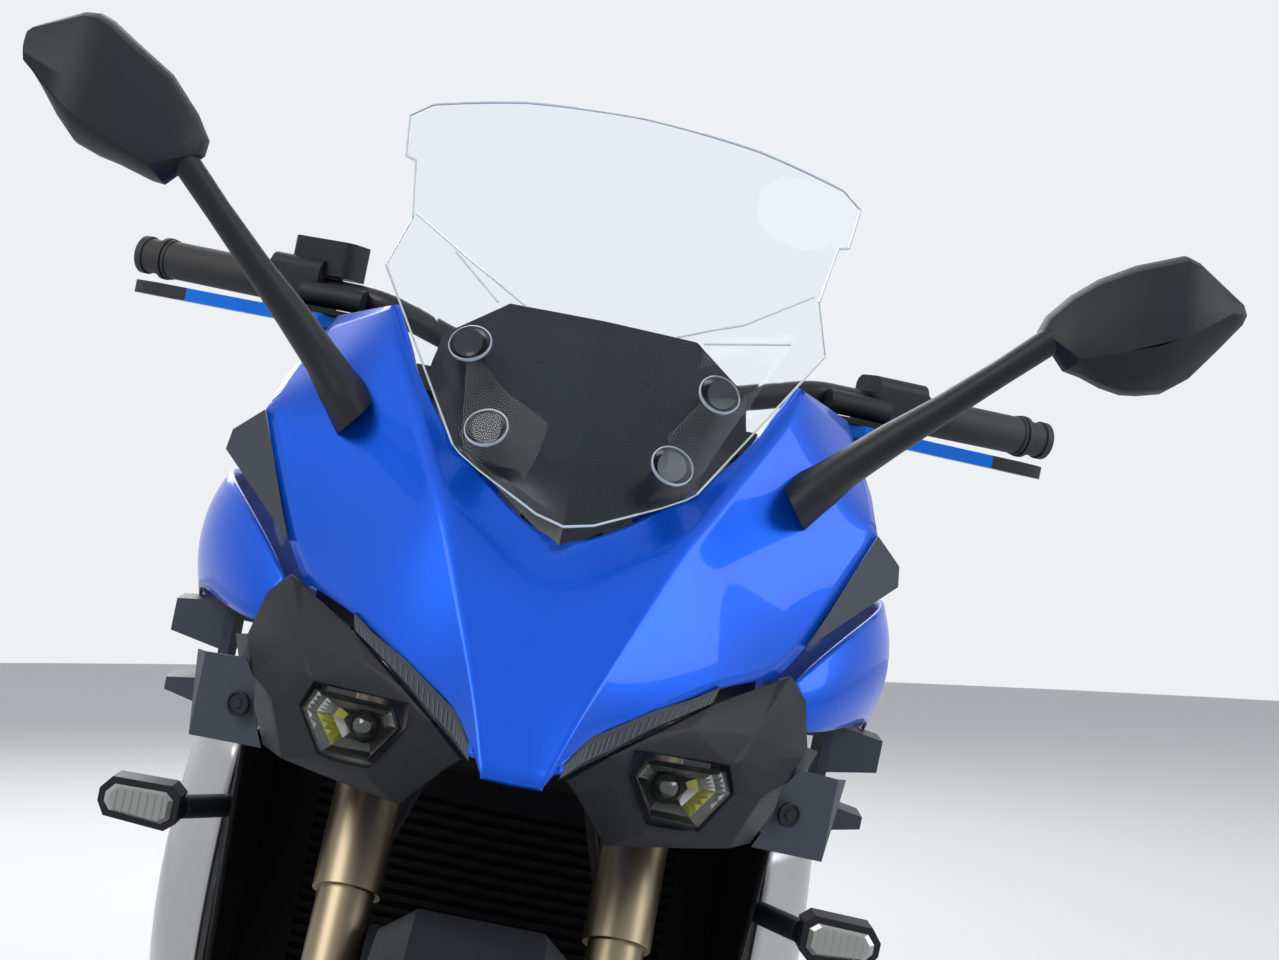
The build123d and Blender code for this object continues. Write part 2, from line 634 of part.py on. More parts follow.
# Engine: crankcase, forward-leaning cylinders, gearbox and round side covers, as one block
with BuildPart() as engine:
    add(slab(-150, 150, [(486, 320), (520, 240), (575, 190), (715, 190), (748, 262), (752, 520),
                         (486, 470)]))
    add(slab(-168, 168, [(480, 440), (418, 640), (405, 700), (432, 742), (596, 748), (628, 660),
                         (660, 500)]))
    add(slab(-92, 92, [
        (740, 250), (835, 340), (842, 400), (846 - SEAT_GAP, 500), (846 - SEAT_GAP, 530), (790, 565),
        (740, 550)]))
    for x, y, z, radius, depth in ((150, 560, 385, 78, 46), (-150, 585, 385, 72, -40),
                                   (-150, 700, 390, 90, -58)):
        with BuildSketch(along(x)):
            with Locations((y, z)):
                Circle(radius)
        extrude(amount=depth)
    for x, radius, length in ((92, 12, 28), (CHAIN_X - SPROCKET_THICK / 2, 31, SPROCKET_THICK)):
        with BuildSketch(along(x)):
            with Locations((FRONT_SPROCKET[1], FRONT_SPROCKET[2])):
                Circle(radius)
        extrude(amount=length)
engine.part.label = "engine"

# Radiator: a bent core with louvred front between side tanks, hung ahead of the cylinders
RADIATOR_THICK = 28
RADIATOR_LOW = 430
RADIATOR_TALL = 250
SLAT_PITCH = 10
SLAT_GAP = 5
SLAT_DEPTH = 6
with BuildPart() as radiator:
    plan = [(-190, 344), (-150, 330), (0, 318), (150, 330), (190, 344)]
    back = [(x, y + RADIATOR_THICK) for x, y in reversed(plan)]
    extrude(outline(level(RADIATOR_LOW), plan + back), amount=RADIATOR_TALL)
    front = plan[1:-1] + [(x, y + SLAT_DEPTH) for x, y in reversed(plan[1:-1])]
    for z in range(RADIATOR_LOW + 20, RADIATOR_LOW + RADIATOR_TALL - 20, SLAT_PITCH):
        extrude(outline(level(z), front), amount=SLAT_GAP, mode=Mode.SUBTRACT)
    for side in SIDES:
        add(rod((side * 140, 352, 665), (side * 140, 410.8, 665), 7))
radiator.part.label = "radiator"

# Exhaust: four pipes down the front of the engine into one box under it, then back to the muffler
PIPE_RADIUS = 19
PORTS = (-126, -42, 42, 126)
PIPE_FLOOR = 160
with BuildPart() as exhaust_headers:
    for x in PORTS:
        with BuildLine() as path:
            FilletPolyline((x, 430.1, 599.9), (x, 396, 589.3), (x * 0.9, 424, 390), (x * 0.62, 468, 236),
                           (x * 0.5, 566, PIPE_FLOOR), (x * 0.42, 700, PIPE_FLOOR), radius=34)
        with BuildSketch(Plane(origin=path.line @ 0, z_dir=path.line % 0)):
            Circle(PIPE_RADIUS)
        sweep()
    add(through([
        (across(690), [(-80, 138), (80, 138), (80, 182), (-80, 182)]),
        (across(740), [(-100, 136), (60, 136), (60, 196), (-100, 196)]),
        (across(860), [(-130, 140), (20, 140), (20, 214), (-130, 214)]),
        (across(930), [(-150, 166), (-60, 166), (-60, 226), (-150, 226)])]))
    with BuildLine() as tail:
        FilletPolyline((-105, 915, 196), (-112, 970, 206), (-180, 1032, 268), (-187, 1075.7, 270),
                       radius=24)
    with BuildSketch(Plane(origin=tail.line @ 0, z_dir=tail.line % 0)):
        Circle(24)
    sweep()
    with BuildSketch(across(1076 - SEAT_GAP)):
        Rectangle(900, 900)
    extrude(amount=-60, mode=Mode.SUBTRACT)
exhaust_headers.part.label = "exhaust_headers"

# Muffler: short slanted can on the right with an open outlet
with BuildPart() as muffler:
    add(through([
        (across(1076), [(-215, 225), (-165, 232), (-160, 300), (-205, 318)]),
        (across(1130), [(-238, 215), (-170, 222), (-165, 340), (-222, 352)]),
        (across(1290), [(-258, 290), (-178, 296), (-172, 420), (-240, 436)]),
        (across(1350), [(-250, 330), (-190, 336), (-184, 416), (-234, 428)])]))
    with BuildSketch(across(1350)):
        with Locations((-215, 378)):
            Circle(22)
    extrude(amount=70, mode=Mode.SUBTRACT)
muffler.part.label = "muffler"

# Swingarm: two beams from the pivot to the axle, joined ahead of the tyre
SPOOL_Y = WHEELBASE - 56         # threaded holes for paddock stand spools
SPOOL_Z = REAR_RADIUS + 3
SPOOL_FACE_X = 166
SPOOL_DEPTH = 20
SPOOL_HOLE_RADIUS = 4
SPOOL_BOSS_RADIUS = 12
with BuildPart() as swingarm:
    arm = flared([
        (862, 70, 99, 394, 450), (1000, 112, 146, 386, 442),
        (WHEELBASE - 280, 128, 158, REAR_RADIUS + 31, REAR_RADIUS + 103),
        (WHEELBASE - 60, SWINGARM_INNER_X, 158, REAR_RADIUS - 27, REAR_RADIUS + 33),
        (WHEELBASE + 52, SWINGARM_INNER_X, 156, REAR_RADIUS - 21, REAR_RADIUS + 21)])
    for piece in pair(arm):
        add(piece)
    add(boxes(-120, 120, [(950, 392, 440), (1050, 380, 428)]))
    with BuildSketch(along(-99)):
        with Locations((PIVOT_Y, PIVOT_Z)):
            Circle(30)
    extrude(amount=198)
    with BuildSketch(along(-99)):
        with Locations((PIVOT_Y, PIVOT_Z)):
            Circle(PIVOT_BOLT_RADIUS + 0.1)
    extrude(amount=198, mode=Mode.SUBTRACT)
    with BuildSketch(along(-PLATE_INNER_X)):
        with Locations((PIVOT_Y, PIVOT_Z)):
            Circle(PIVOT_BOLT_RADIUS + 0.1)
    extrude(amount=2 * PLATE_INNER_X, mode=Mode.SUBTRACT)
    with BuildSketch(along(-158)):
        with Locations((WHEELBASE, REAR_RADIUS)):
            Circle(REAR_AXLE_RADIUS)
    extrude(amount=316)
    for side in SIDES:
        for x0, depth, radius, mode in ((150, SPOOL_FACE_X - 150, SPOOL_BOSS_RADIUS, Mode.ADD),
                                        (SPOOL_FACE_X, -SPOOL_DEPTH, SPOOL_HOLE_RADIUS, Mode.SUBTRACT)):
            with BuildSketch(along(side * x0)):
                with Locations((SPOOL_Y, SPOOL_Z)):
                    Circle(radius)
            extrude(amount=side * depth, mode=mode)
swingarm.part.label = "swingarm"

# Rear shock: body, rod and coil between the frame's cross beam and the swingarm
COILS = 5
COIL_PITCH = 15
COIL_WIRE = 8
COIL_RADIUS = 27
with BuildPart() as rear_shock:
    add(rod((0, 972, 439.4), (0, 972, 470), 13))
    add(rod((0, 966, 464), (0, 893, 516), 20))
    add(rod((0, 905, 515), (0, 880 + SEAT_GAP, 515), 13))
    coil = Plane(origin=(0, 966, 464), x_dir=(1, 0, 0), z_dir=(0, -73, 52))
    for i in range(COILS):
        with BuildSketch(coil.offset(8 + i * COIL_PITCH)):
            Circle(COIL_RADIUS)
        extrude(amount=COIL_WIRE)
rear_shock.part.label = "rear_shock"

# Rear hugger: arched guard close over the rear tyre, feet on the swingarm
HUGGER_RADIUS = REAR_RADIUS + 12
HUGGER_FROM = 36
HUGGER_TO = 98
with BuildPart() as rear_hugger:
    ring = [(103, 262), (101, 292), (62, HUGGER_RADIUS)]
    lip = [(64, HUGGER_RADIUS + GUARD_WALL), (104, 294), (106, 262)]
    profile = ring + [(-x, r) for x, r in reversed(ring)] + [(-x, r) for x, r in reversed(lip)] + lip
    add(swept(REAR_AXLE, HUGGER_FROM, HUGGER_TO, profile))
    for side in SIDES:
        add(slab(*sorted((side * 103, side * 138)), from_rear_axle([
            (-238, 167), (-210, 179), (-210, 173), (-234, 159)])))
        add(slab(*sorted((side * 130, side * 138)), from_rear_axle([
            (-254, 95), (-224, 85.5), (-210, 175), (-238, 165)])))
rear_hugger.part.label = "rear_hugger"

# Rear caliper on the right, over the disc
with BuildPart() as rear_caliper:
    add(swept(REAR_AXLE, 50, 84, caliper_profile(REAR_DISC_X, 88, 132, 140)))
    outer = REAR_DISC_X - CALIPER_HALF
    add(slab(-SWINGARM_INNER_X + SEAT_GAP, outer, from_rear_axle([
        (-24, -25), (22, -25), (28, 19), (-12, 123), (-64, 93), (-56, 61)])))
    with BuildSketch(along(-SWINGARM_INNER_X)):
        with Locations((WHEELBASE, REAR_RADIUS)):
            Circle(REAR_AXLE_RADIUS + SEAT_GAP)
    extrude(amount=20, mode=Mode.SUBTRACT)
rear_caliper.part.label = "rear_caliper"

# Subframe: upper rails under the seats and lower struts
RAIL_RADIUS = 12.5
RAIL_Z = 762
RAIL_X = 118
RAIL_END = (78, 1490, 800)
with BuildPart() as subframe:
    for side in SIDES:
        with BuildLine() as rail:
            FilletPolyline((side * 171, 720.2, 707.8), (side * 171, 738, 732.5),
                           (side * RAIL_X, 820, RAIL_Z),
                           (side * RAIL_X, 1084, RAIL_Z), (side * RAIL_END[0], *RAIL_END[1:]), radius=40)
        with BuildSketch(Plane(origin=rail.line @ 0, z_dir=rail.line % 0)):
            Circle(RAIL_RADIUS)
        sweep()
        with BuildLine() as strut:
            FilletPolyline((side * 138, 862.3, 547), (side * 138, 900, 547), (side * RAIL_X, 962, 592),
                           (side * RAIL_X, 1170, 768), radius=30)
        with BuildSketch(Plane(origin=strut.line @ 0, z_dir=strut.line % 0)):
            Circle(RAIL_RADIUS)
        sweep()
    for y, z, half in ((840, RAIL_Z, RAIL_X), (1084, RAIL_Z, RAIL_X), (1400, 790, 103.8)):
        add(rod((-half, y, z), (half, y, z), RAIL_RADIUS))
subframe.part.label = "subframe"

# Fuel tank: broad shoulders in front, narrow between the rider's knees
FILLER_Y = 606
FILLER_RADIUS = 42
TANK_TOP = 992
CAP_HEIGHT = 12
with BuildPart() as fuel_tank:
    rows = [  # y, then half width and height of the floor, the shoulder and the top
        (432, 96, 880, 126, 905, 70, 950), (505, 160, TANK_FLOOR, 192, 915, 112, 984),
        (545, 166, TANK_FLOOR, 197, 908, 112, TANK_TOP), (660, 172, 796, 200, 880, 108, TANK_TOP),
        (740, 130, 790, 158, 846, 84, 936), (800, 96, 790, 112, 810, 62, 866)]
    add(through([(across(y), [(-xb, zb), (xb, zb), (xm, zm), (xt, zt), (-xt, zt), (-xm, zm)])
                 for y, xb, zb, xm, zm, xt, zt in rows]))
fuel_tank.part.label = "fuel_tank"

# Fuel cap: round lid with a hinge lug at its front
with BuildPart() as fuel_cap:
    with BuildSketch(level(TANK_TOP + SEAT_GAP)):
        with Locations((0, FILLER_Y)):
            Circle(FILLER_RADIUS)
    extrude(amount=CAP_HEIGHT)
    chamfer(fuel_cap.faces().sort_by(Axis.Z)[-1].edges(), 3)
    add(rod((-14, FILLER_Y - FILLER_RADIUS - 3, TANK_TOP + 6.3),
            (14, FILLER_Y - FILLER_RADIUS - 3, TANK_TOP + 6.3), 5))
fuel_cap.part.label = "fuel_cap"

# Seats: rider's dished seat and the raised pillion seat
with BuildPart() as rider_seat:
    floor = RAIL_Z + RAIL_RADIUS + SEAT_GAP
    rows = [(812, 70, 818, 58, 842), (860, 118, 806, 96, 822), (960, 162, 798, 138, 812),
            (1040, 152, 806, 126, 826), (1078, 128, 820, 108, 862)]
    add(through([(across(y), [(-xm, floor), (xm, floor), (xm, zm), (xt, zt), (-xt, zt), (-xm, zm)])
                 for y, xm, zm, xt, zt in rows]))
rider_seat.part.label = "rider_seat"

DECK_Z = 830
with BuildPart() as pillion_seat:
    rows = [(1086, 116, 860, 96, 878), (1200, 134, 866, 110, 886), (1300, 120, 870, 98, 890),
            (1400, 84, 872, 66, 888)]
    floor = DECK_Z + SEAT_GAP
    add(through([(across(y), [(-xm, floor), (xm, floor), (xm, zm), (xt, zt), (-xt, zt), (-xm, zm)])
                 for y, xm, zm, xt, zt in rows]))
pillion_seat.part.label = "pillion_seat"

# Tail cowl: deck under the pillion seat with sides that taper to the tail lamp
TAIL_END_Y = 1560
with BuildPart() as tail_cowl:
    rows = [(1084, 150, 752, 138, DECK_Z), (1400, 116, 796, 104, DECK_Z), (TAIL_END_Y, 62, 838, 50, 868)]
    add(through([(across(y), [(-xb, zb), (xb, zb), (xt, zt), (-xt, zt)]) for y, xb, zb, xt, zt in rows]))
    inner = [(1070, 146, 740, 134, DECK_Z - PANEL), (1400, 112, 770, 100, DECK_Z - PANEL),
             (TAIL_END_Y - 12, 60, 800, 47, 860)]
    add(through([(across(y), [(-xb, zb), (xb, zb), (xt, zt), (-xt, zt)]) for y, xb, zb, xt, zt in inner]),
        mode=Mode.SUBTRACT)
tail_cowl.part.label = "tail_cowl"

# Tail lamp: upright lens strip on the end of the tail cowl
with BuildPart() as tail_lamp:
    with BuildSketch(across(TAIL_END_Y + SEAT_GAP)):
        Polygon((-56, 842), (56, 842), (46, 864), (-46, 864), align=None)
    extrude(amount=-14, taper=20)
tail_lamp.part.label = "tail_lamp"

# Grab rails: one bent bar each side of the pillion seat, feet on the deck
GRAB_RADIUS = 10
with BuildPart() as grab_rails:
    for side in SIDES:
        with BuildLine() as rail:
            FilletPolyline(*[(side * x, y, z) for x, y, z in (
                (136, 1170, 800), (164, 1176, 806), (166, 1200, 866), (146, 1350, 882), (82, 1436, 874),
                (80, 1440, 843))], radius=14)
        with BuildSketch(Plane(origin=rail.line @ 0, z_dir=rail.line % 0)):
            Circle(GRAB_RADIUS)
        sweep()
    add(tail_cowl.part, mode=Mode.SUBTRACT)
grab_rails.part.label = "grab_rails"

# Plate bracket: bent arm under the tail, plate board with two fixing holes
BRACKET_END_Y = MACHINE_LENGTH_BEHIND
PLATE_HOLE_RADIUS = 3.5
PLATE_HOLE_SPREAD = 140
with BuildPart() as plate_bracket:
    add(slab(-38, 38, [
        (1400 + RAIL_RADIUS + SEAT_GAP, 776), (1400 + RAIL_RADIUS + SEAT_GAP, 802), (1500, 806),
        (1560, 782),
        (1740, 652), (BRACKET_END_Y - 8, 622), (BRACKET_END_Y, 590), (BRACKET_END_Y - 14, 588), (1730, 622),
        (1550, 748), (1490, 776)]))
    board = Plane(origin=(0, 1776, 620), x_dir=(1, 0, 0), z_dir=(0, cos(radians(30)), sin(radians(30))))
    with BuildSketch(board):
        with Locations((0, -60)):
            RectangleRounded(190, 150, 10)
        with Locations((-PLATE_HOLE_SPREAD / 2, -40), (PLATE_HOLE_SPREAD / 2, -40)):
            Circle(PLATE_HOLE_RADIUS, mode=Mode.SUBTRACT)
    extrude(amount=4)
plate_bracket.part.label = "plate_bracket"

# Upper cowl: blue nose with two sharp ridges and a hollow channel between them
COWL_LEVELS = [  # height, centre y, ridge x, ridge y, outer y at the widest place
    (724, -50, 22, -51, 128), (774, -8, 37, -19, 155), (819, 30, 55, 18, 190), (892, 90, 84, 77, 207),
    (940, 132, 110, 129, 223), (968, 160, 125, 159, 272), (1045, 244, 166, 242, 372)]
COWL_WIDE = 256
COWL_WALL = 5
COWL_FRONT = [  # half outline seen from the front: x, z
    (0, 726), (22, 726), (47, 762), (133, 809), (178, 819), (198, 843), (244, 940), (237, 968), (211, 1025),
    (163, 1039), (128, 985), (96, 944), (40, 902), (0, 880)]


def nose_surface(shift, wall):
    """Thick copy of the nose's surface, moved back by a shift."""
    return skin([(level(z), [(-COWL_WIDE, yo + shift), (-xr, yr + shift), (0, yc + shift), (xr, yr + shift),
                             (COWL_WIDE, yo + shift)]) for z, yc, xr, yr, yo in COWL_LEVELS], wall, (0, 1))


with BuildPart() as upper_cowl:
    add(nose_surface(0, COWL_WALL))
    add(seen_from_front(COWL_FRONT + flip(-1, reversed(COWL_FRONT[1:-1]))), mode=Mode.INTERSECT)
upper_cowl.part.label = "upper_cowl"

# Windscreen: clear sheet, its wings folded back along a crease from the waist down to the lower
# corners and from the waist up to the top, with a step in each upper edge
SCREEN_ROWS = [  # height, then y in the middle, x and y of the crease, x and y of the edge
    (896, 48, 10, 50, 14, 52), (941, 66, 84, 90, 94, 100), (1010, 112, 117, 144, 142, 172),
    (1068, 152, 145, 200, 180, 236), (1112, 184, 160, 244, 168, 250), (1150, 210, 166, 282, 188, 300),
    (1212, 256, 172, 318, 196, 330), (1230, 269, 173, 328, 198, 340)]
SCREEN_WALL = 4
SCREEN_FRONT = [  # half outline seen from the front, from the top corner down: x, z
    (172, 1210), (189, 1198), (184, 1163), (175, 1160), (164, 1110), (176, 1068), (137, 1010), (91, 941),
    (80, 932), (21, 904)]
SCREEN_TOP = 1227
SCREEN_TIP = 899


def screen_surface(shift, wall):
    """Thick copy of the screen's surface, moved back by a shift."""
    rows = []
    for z, yc, xk, yk, xe, ye in SCREEN_ROWS:
        half = [(xe, ye), (xk, yk), (0.56 * xk, yc + 0.26 * (yk - yc))]
        rows.append((level(z), [(-x, y + shift) for x, y in half] + [(0, yc + shift)]
                     + [(x, y + shift) for x, y in reversed(half)]))
    return skin(rows, wall, (0, 1))


with BuildPart() as windscreen:
    add(screen_surface(0, SCREEN_WALL))
    with BuildSketch(across(460)):
        with BuildLine():
            Polyline(*SCREEN_FRONT, (0, SCREEN_TIP), *[(-x, z) for x, z in reversed(SCREEN_FRONT)])
            ThreePointArc((-SCREEN_FRONT[0][0], SCREEN_FRONT[0][1]), (0, SCREEN_TOP), SCREEN_FRONT[0])
        make_face()
    extrude(amount=640, mode=Mode.INTERSECT)
windscreen.part.label = "windscreen"

# Black panel under the screen, its tip on the nose, and the stay back to the steering head
MOUNT_LEVELS = [  # height, centre y, half width, edge y
    (884, 84, 6, 86), (944, 108, 93, 127), (985, 138, 122, 170), (1062, 197, 156, 246)]
MOUNT_FRONT = [(74, 1057), (119, 1023), (124, 985), (94, 944), (7, 884)]
MOUNT_WALL = 5
SCREEN_BOLTS = [(97, 1018, 204), (69, 957, 134)]  # x, z and how far back the boss reaches
BOSS_RADIUS = 11
STAY_TUBE = 8
STAY_BRANCH = (122, 186, 930)
DASH_CENTRE = (0, 222, 1012)
DASH_TILT = radians(50)
DASH_THICK = 16
DASH_STUD = (40, 172, 40)        # x, y of its front end and length


def screen_bosses(side):
    """Round bosses that end on the back of the screen at its bolts."""
    with BuildPart() as bosses:
        for x, z, y in SCREEN_BOLTS:
            add(rod((side * x, 60, z), (side * x, y, z), BOSS_RADIUS))
        add(screen_surface(-140, SCREEN_WALL + 140 + SEAT_GAP), mode=Mode.SUBTRACT)
    return bosses.part


def mount_panel():
    """Panel under the screen, trimmed to its outline from the front."""
    panel = skin([(level(z), [(-xe, ye), (0, yc), (xe, ye)]) for z, yc, xe, ye in MOUNT_LEVELS],
                 MOUNT_WALL, (0, 1))
    return cut_out(panel, seen_from_front(MOUNT_FRONT + flip(-1, reversed(MOUNT_FRONT))))


def dash_body(grow):
    """Flat display housing, its back face moved forward by a distance."""
    face = Plane(origin=DASH_CENTRE, x_dir=(1, 0, 0), z_dir=(0, cos(DASH_TILT), sin(DASH_TILT)))
    with BuildPart() as body:
        with BuildSketch(face.offset(-DASH_THICK - grow)):
            RectangleRounded(120, 50, 10)
        extrude(amount=DASH_THICK + grow)
    return body.part


with BuildPart() as dash:
    add(dash_body(0))
dash.part.label = "dash"

with BuildPart() as cowl_stay:
    for side in SIDES:
        add(rod((side * 20, 292, 877), (side * 26, 182, 931), STAY_TUBE))
        add(rod((side * STAY_BRANCH[0], 110, STAY_BRANCH[2]),
                (side * STAY_BRANCH[0], 192, STAY_BRANCH[2]), 7))
    add(rod((-STAY_BRANCH[0] - 7, *STAY_BRANCH[1:]), (STAY_BRANCH[0] + 7, *STAY_BRANCH[1:]), STAY_TUBE))
    add(nose_surface(-60, COWL_WALL + 60 + SEAT_GAP), mode=Mode.SUBTRACT)
    add(main_frame.part, mode=Mode.SUBTRACT)
    for side in SIDES:
        add(screen_bosses(side))
        add(rod((side * 60, 132, 958), (side * 60, 184, 934), 6))
        x, y, length = DASH_STUD
        add(rod((side * x, y, DASH_CENTRE[2]), (side * x, y + length, DASH_CENTRE[2]), 5))
    add(dash_body(SEAT_GAP), mode=Mode.SUBTRACT)
    add(mount_panel())
cowl_stay.part.label = "cowl_stay"

# Lower nose in matte black: angular cowls round the two lamps
LAMP_CORNERS = [(84, 739), (91, 752), (149, 750), (156, 735), (137, 709), (101, 712)]
LAMP_COWL_LEVELS = [  # height, then y at four half widths
    (676, 34, 60, 108, 160), (720, 4, 32, 92, 150), (762, 0, 34, 88, 146), (800, 14, 50, 108, 152),
    (850, 48, 84, 138, 176)]
LAMP_COWL_X = (24, 100, 176, 222)
LAMP_COWL_FRONT = [(26, 722), (47, 719), (71, 684), (167, 694), (206, 752), (214, 778), (196, 836),
                   (178, 812),
                   (133, 795), (47, 757)]
STRIP_FRONT = [(134, 807), (176, 816), (178, 812.5), (133, 795.5), (47, 757.5), (34, 742), (30, 742),
               (47, 761)]
LAMP_RECESS = 3
LAMP_DEPTH = 44


def lower_nose(side, shift, wall):
    """Thick copy of the lower nose's surface on one side, moved back by a shift."""
    rows = [(level(z), flip(side, zip(LAMP_COWL_X, [y + shift for y in ys]))) for z,
            *ys in LAMP_COWL_LEVELS]
    return skin(rows, wall, (0, 1))


with BuildPart() as lamp_cowls:
    for side in SIDES:
        add(cut_out(lower_nose(side, 0, PANEL), seen_from_front(flip(side, LAMP_COWL_FRONT))))
        add(seen_from_front(flip(side, LAMP_CORNERS)), mode=Mode.SUBTRACT)
lamp_cowls.part.label = "lamp_cowls"

# Lamps in the hexagonal openings, each a clear lens on its body
with BuildPart() as headlamps:
    middle = (sum(x for x, z in LAMP_CORNERS) / 6, sum(z for x, z in LAMP_CORNERS) / 6)
    inset = [(middle[0] + 0.97 * (x - middle[0]), middle[1] + 0.96 * (z - middle[1])) for x,
             z in LAMP_CORNERS]
    for side in SIDES:
        add(cut_out(lower_nose(side, LAMP_RECESS, LAMP_DEPTH), seen_from_front(flip(side, inset))))
headlamps.part.label = "headlamps"

# Position lamps: slim strips between the blue nose and the lower nose
with BuildPart() as position_lamps:
    for side in SIDES:
        add(cut_out(lower_nose(side, 0, PANEL), seen_from_front(flip(side, STRIP_FRONT))))
    add(upper_cowl.part, mode=Mode.SUBTRACT)
position_lamps.part.label = "position_lamps"

# Blue side panels: from beside the lamps back along the tank
SIDE_ROWS = [  # y, then x and z of the top edge, the crest and the lower edge
    (142, 194, 816, 198, 796, 196, 782), (150, 205, 826, 216, 802, 216, 782),
    (262, 268, 884, 279, 835, 272, 794),
    (420, 268, 884, 286, 820, 280, 762), (600, 238, 846, 254, 790, 248, 740),
    (700, 214, 796, 220, 772, 216, 756)]


def side_panel(side, rows):
    """Upright panel through rows of y and the x and z of its top edge, crest and lower edge."""
    return skin([(across(y), flip(side, [(a, za), (b, zb), (c, zc)])) for y, a, za, b, zb, c, zc in rows],
                PANEL, (-side, 0))


with BuildPart() as side_cowls:
    for side in SIDES:
        add(side_panel(side, SIDE_ROWS))
        add(rod((side * 190, 560, 770), (side * 256, 560, 770), 8))
    add(main_frame.part, mode=Mode.SUBTRACT)
side_cowls.part.label = "side_cowls"

# Lower side cowls in silver grey, down beside the engine
LOWER_ROWS = [  # y, then x and z of the top edge, the crest and the lower edge
    (240, 213.3, 676, 213.9, 560, 213.3, 470), (300, 252, 694, 262, 560, 236, 400),
    (450, 264, 706, 270, 520, 242, 330), (640, 240, 706, 244, 560, 230, 420)]
with BuildPart() as lower_cowls:
    for side in SIDES:
        add(side_panel(side, LOWER_ROWS))
        add(rod((side * 160, 520, 600), (side * 256, 520, 600), 8))
    add(engine.part, mode=Mode.SUBTRACT)
lower_cowls.part.label = "lower_cowls"

# Black ducts inside the cowls, beside the wheel and the radiator
with BuildPart() as inner_cowls:
    for side in SIDES:
        add(through([(level(z), [(side * x, y) for x, y in (
            (199, a), (203, a), (209, b), (194.3, 344), (194.3, 372), (190.3, 372), (190.3, 344),
            (204, b))])
            for z, a, b in ((480, 236, 262), (560, 208, 240), (690, 156, 204))]))
inner_cowls.part.label = "inner_cowls"

# Side fins: dark vanes beside the lamps, the black knobs behind them and the black trims that
# edge the nose above them
FIN_FRONT = [(167, 696), (241, 690), (249, 752), (209, 756)]
KNOB_INNER_X = 240
TRIM_FRONT = [(199.4, 845), (243.6, 938), (266, 918), (268, 902)]
with BuildPart() as side_fins:
    for side in SIDES:
        vane = skin([(level(z), flip(side, [(150, 92), (241, 140), (262, 182)])) for z in (670, 780)],
                    PANEL, (0, 1))
        add(cut_out(vane, seen_from_front(flip(side, FIN_FRONT))))
    for side in SIDES:
        add(lower_nose(side, -0.4, 60), mode=Mode.SUBTRACT)
    for side in SIDES:
        trim = skin([(level(840), flip(side, [(196, 147), (276, 214)])),
                     (level(945), flip(side, [(196, 184), (276, 240)]))], PANEL, (0, 1))
        add(cut_out(trim, seen_from_front(flip(side, TRIM_FRONT))))
        add(slab(*sorted((side * KNOB_INNER_X, side * (KNOB_INNER_X + 8))), [
            (268, 697), (324, 697), (330, 782), (272, 782)]))
        for x, y, z, tall in ((290, 275, 763, 21), (284, 262, 709, 13)):
            add(through([
                (along(side * KNOB_INNER_X), [(y, z - tall), (y + 64, z - tall), (y + 64, z + tall),
                                              (y, z + tall)]),
                (along(side * x), [(y + 10, z - tall + 8), (y + 50, z - tall + 6), (y + 50, z + tall - 6),
                                   (y + 10, z + tall - 8)])]))
side_fins.part.label = "side_fins"

# Turn signals on stepped stems: two in front, two on the plate bracket
SIGNAL_HEIGHT = 34
with BuildPart() as turn_signals:
    for side in SIDES:
        for x0, x1, y, z, root_x, root_y in ((236, 296, 145, 634, 210, 200),
                                             (70, 130, 1700, 648, 38.3, 1712)):
            add(rod((side * root_x, root_y, z), (side * (x0 + 2), y + 6, z), 9))
            with BuildSketch(across(y - 14)):
                Polygon(*[(side * (x0 + u), z + v) for u, v in (
                    (0, -10), (8, -SIGNAL_HEIGHT / 2), (x1 - x0 - 6, -14), (x1 - x0, -4), (x1 - x0, 6),
                    (x1 - x0 - 8, 16), (8, SIGNAL_HEIGHT / 2), (0, 10))], align=None)
            extrude(amount=-36)
    add(inner_cowls.part, mode=Mode.SUBTRACT)
    add(plate_bracket.part, mode=Mode.SUBTRACT)
turn_signals.part.label = "turn_signals"

# Mirrors: faceted shells on tapered stalks, each with a shoe on the nose
MIRROR_Y = 150
MIRROR_CENTRE = (398, 1142)
MIRROR_RING = [(324, 1121), (333, 1142), (361, 1158), (418, 1200), (466, 1176),
               (MIRROR_TIP_X, MIRROR_TIP_Z),
               (462, 1113), (432, 1091), (404, 1081), (360, 1086)]
MIRROR_SECTIONS = ((-52, 0.34), (-46, 0.66), (-28, 0.9), (-12, 1), (0, 1))  # depth and scale of the ring
GLASS_SEAT = 8
STALK_SECTIONS = [  # centre, the second number of its normal, half depth and half height
    ((176, 186, 950), 0.8, 0.6, 36, 17), ((188, 182, 966), 0.76, 0.64, 33, 16),
    ((204, 178, 984), 0.7, 0.7, 21, 14),
    ((262, 160, 1040), 0.7, 0.7, 16, 11), ((350, 136, 1124), 0.7, 0.7, 12, 9)]


def mirror_ring(side, scale):
    """The shell's outline seen from the front, shrunk towards its middle."""
    cx, cz = MIRROR_CENTRE
    return flip(side, [(cx + scale * (x - cx), cz + scale * (z - cz)) for x, z in MIRROR_RING])


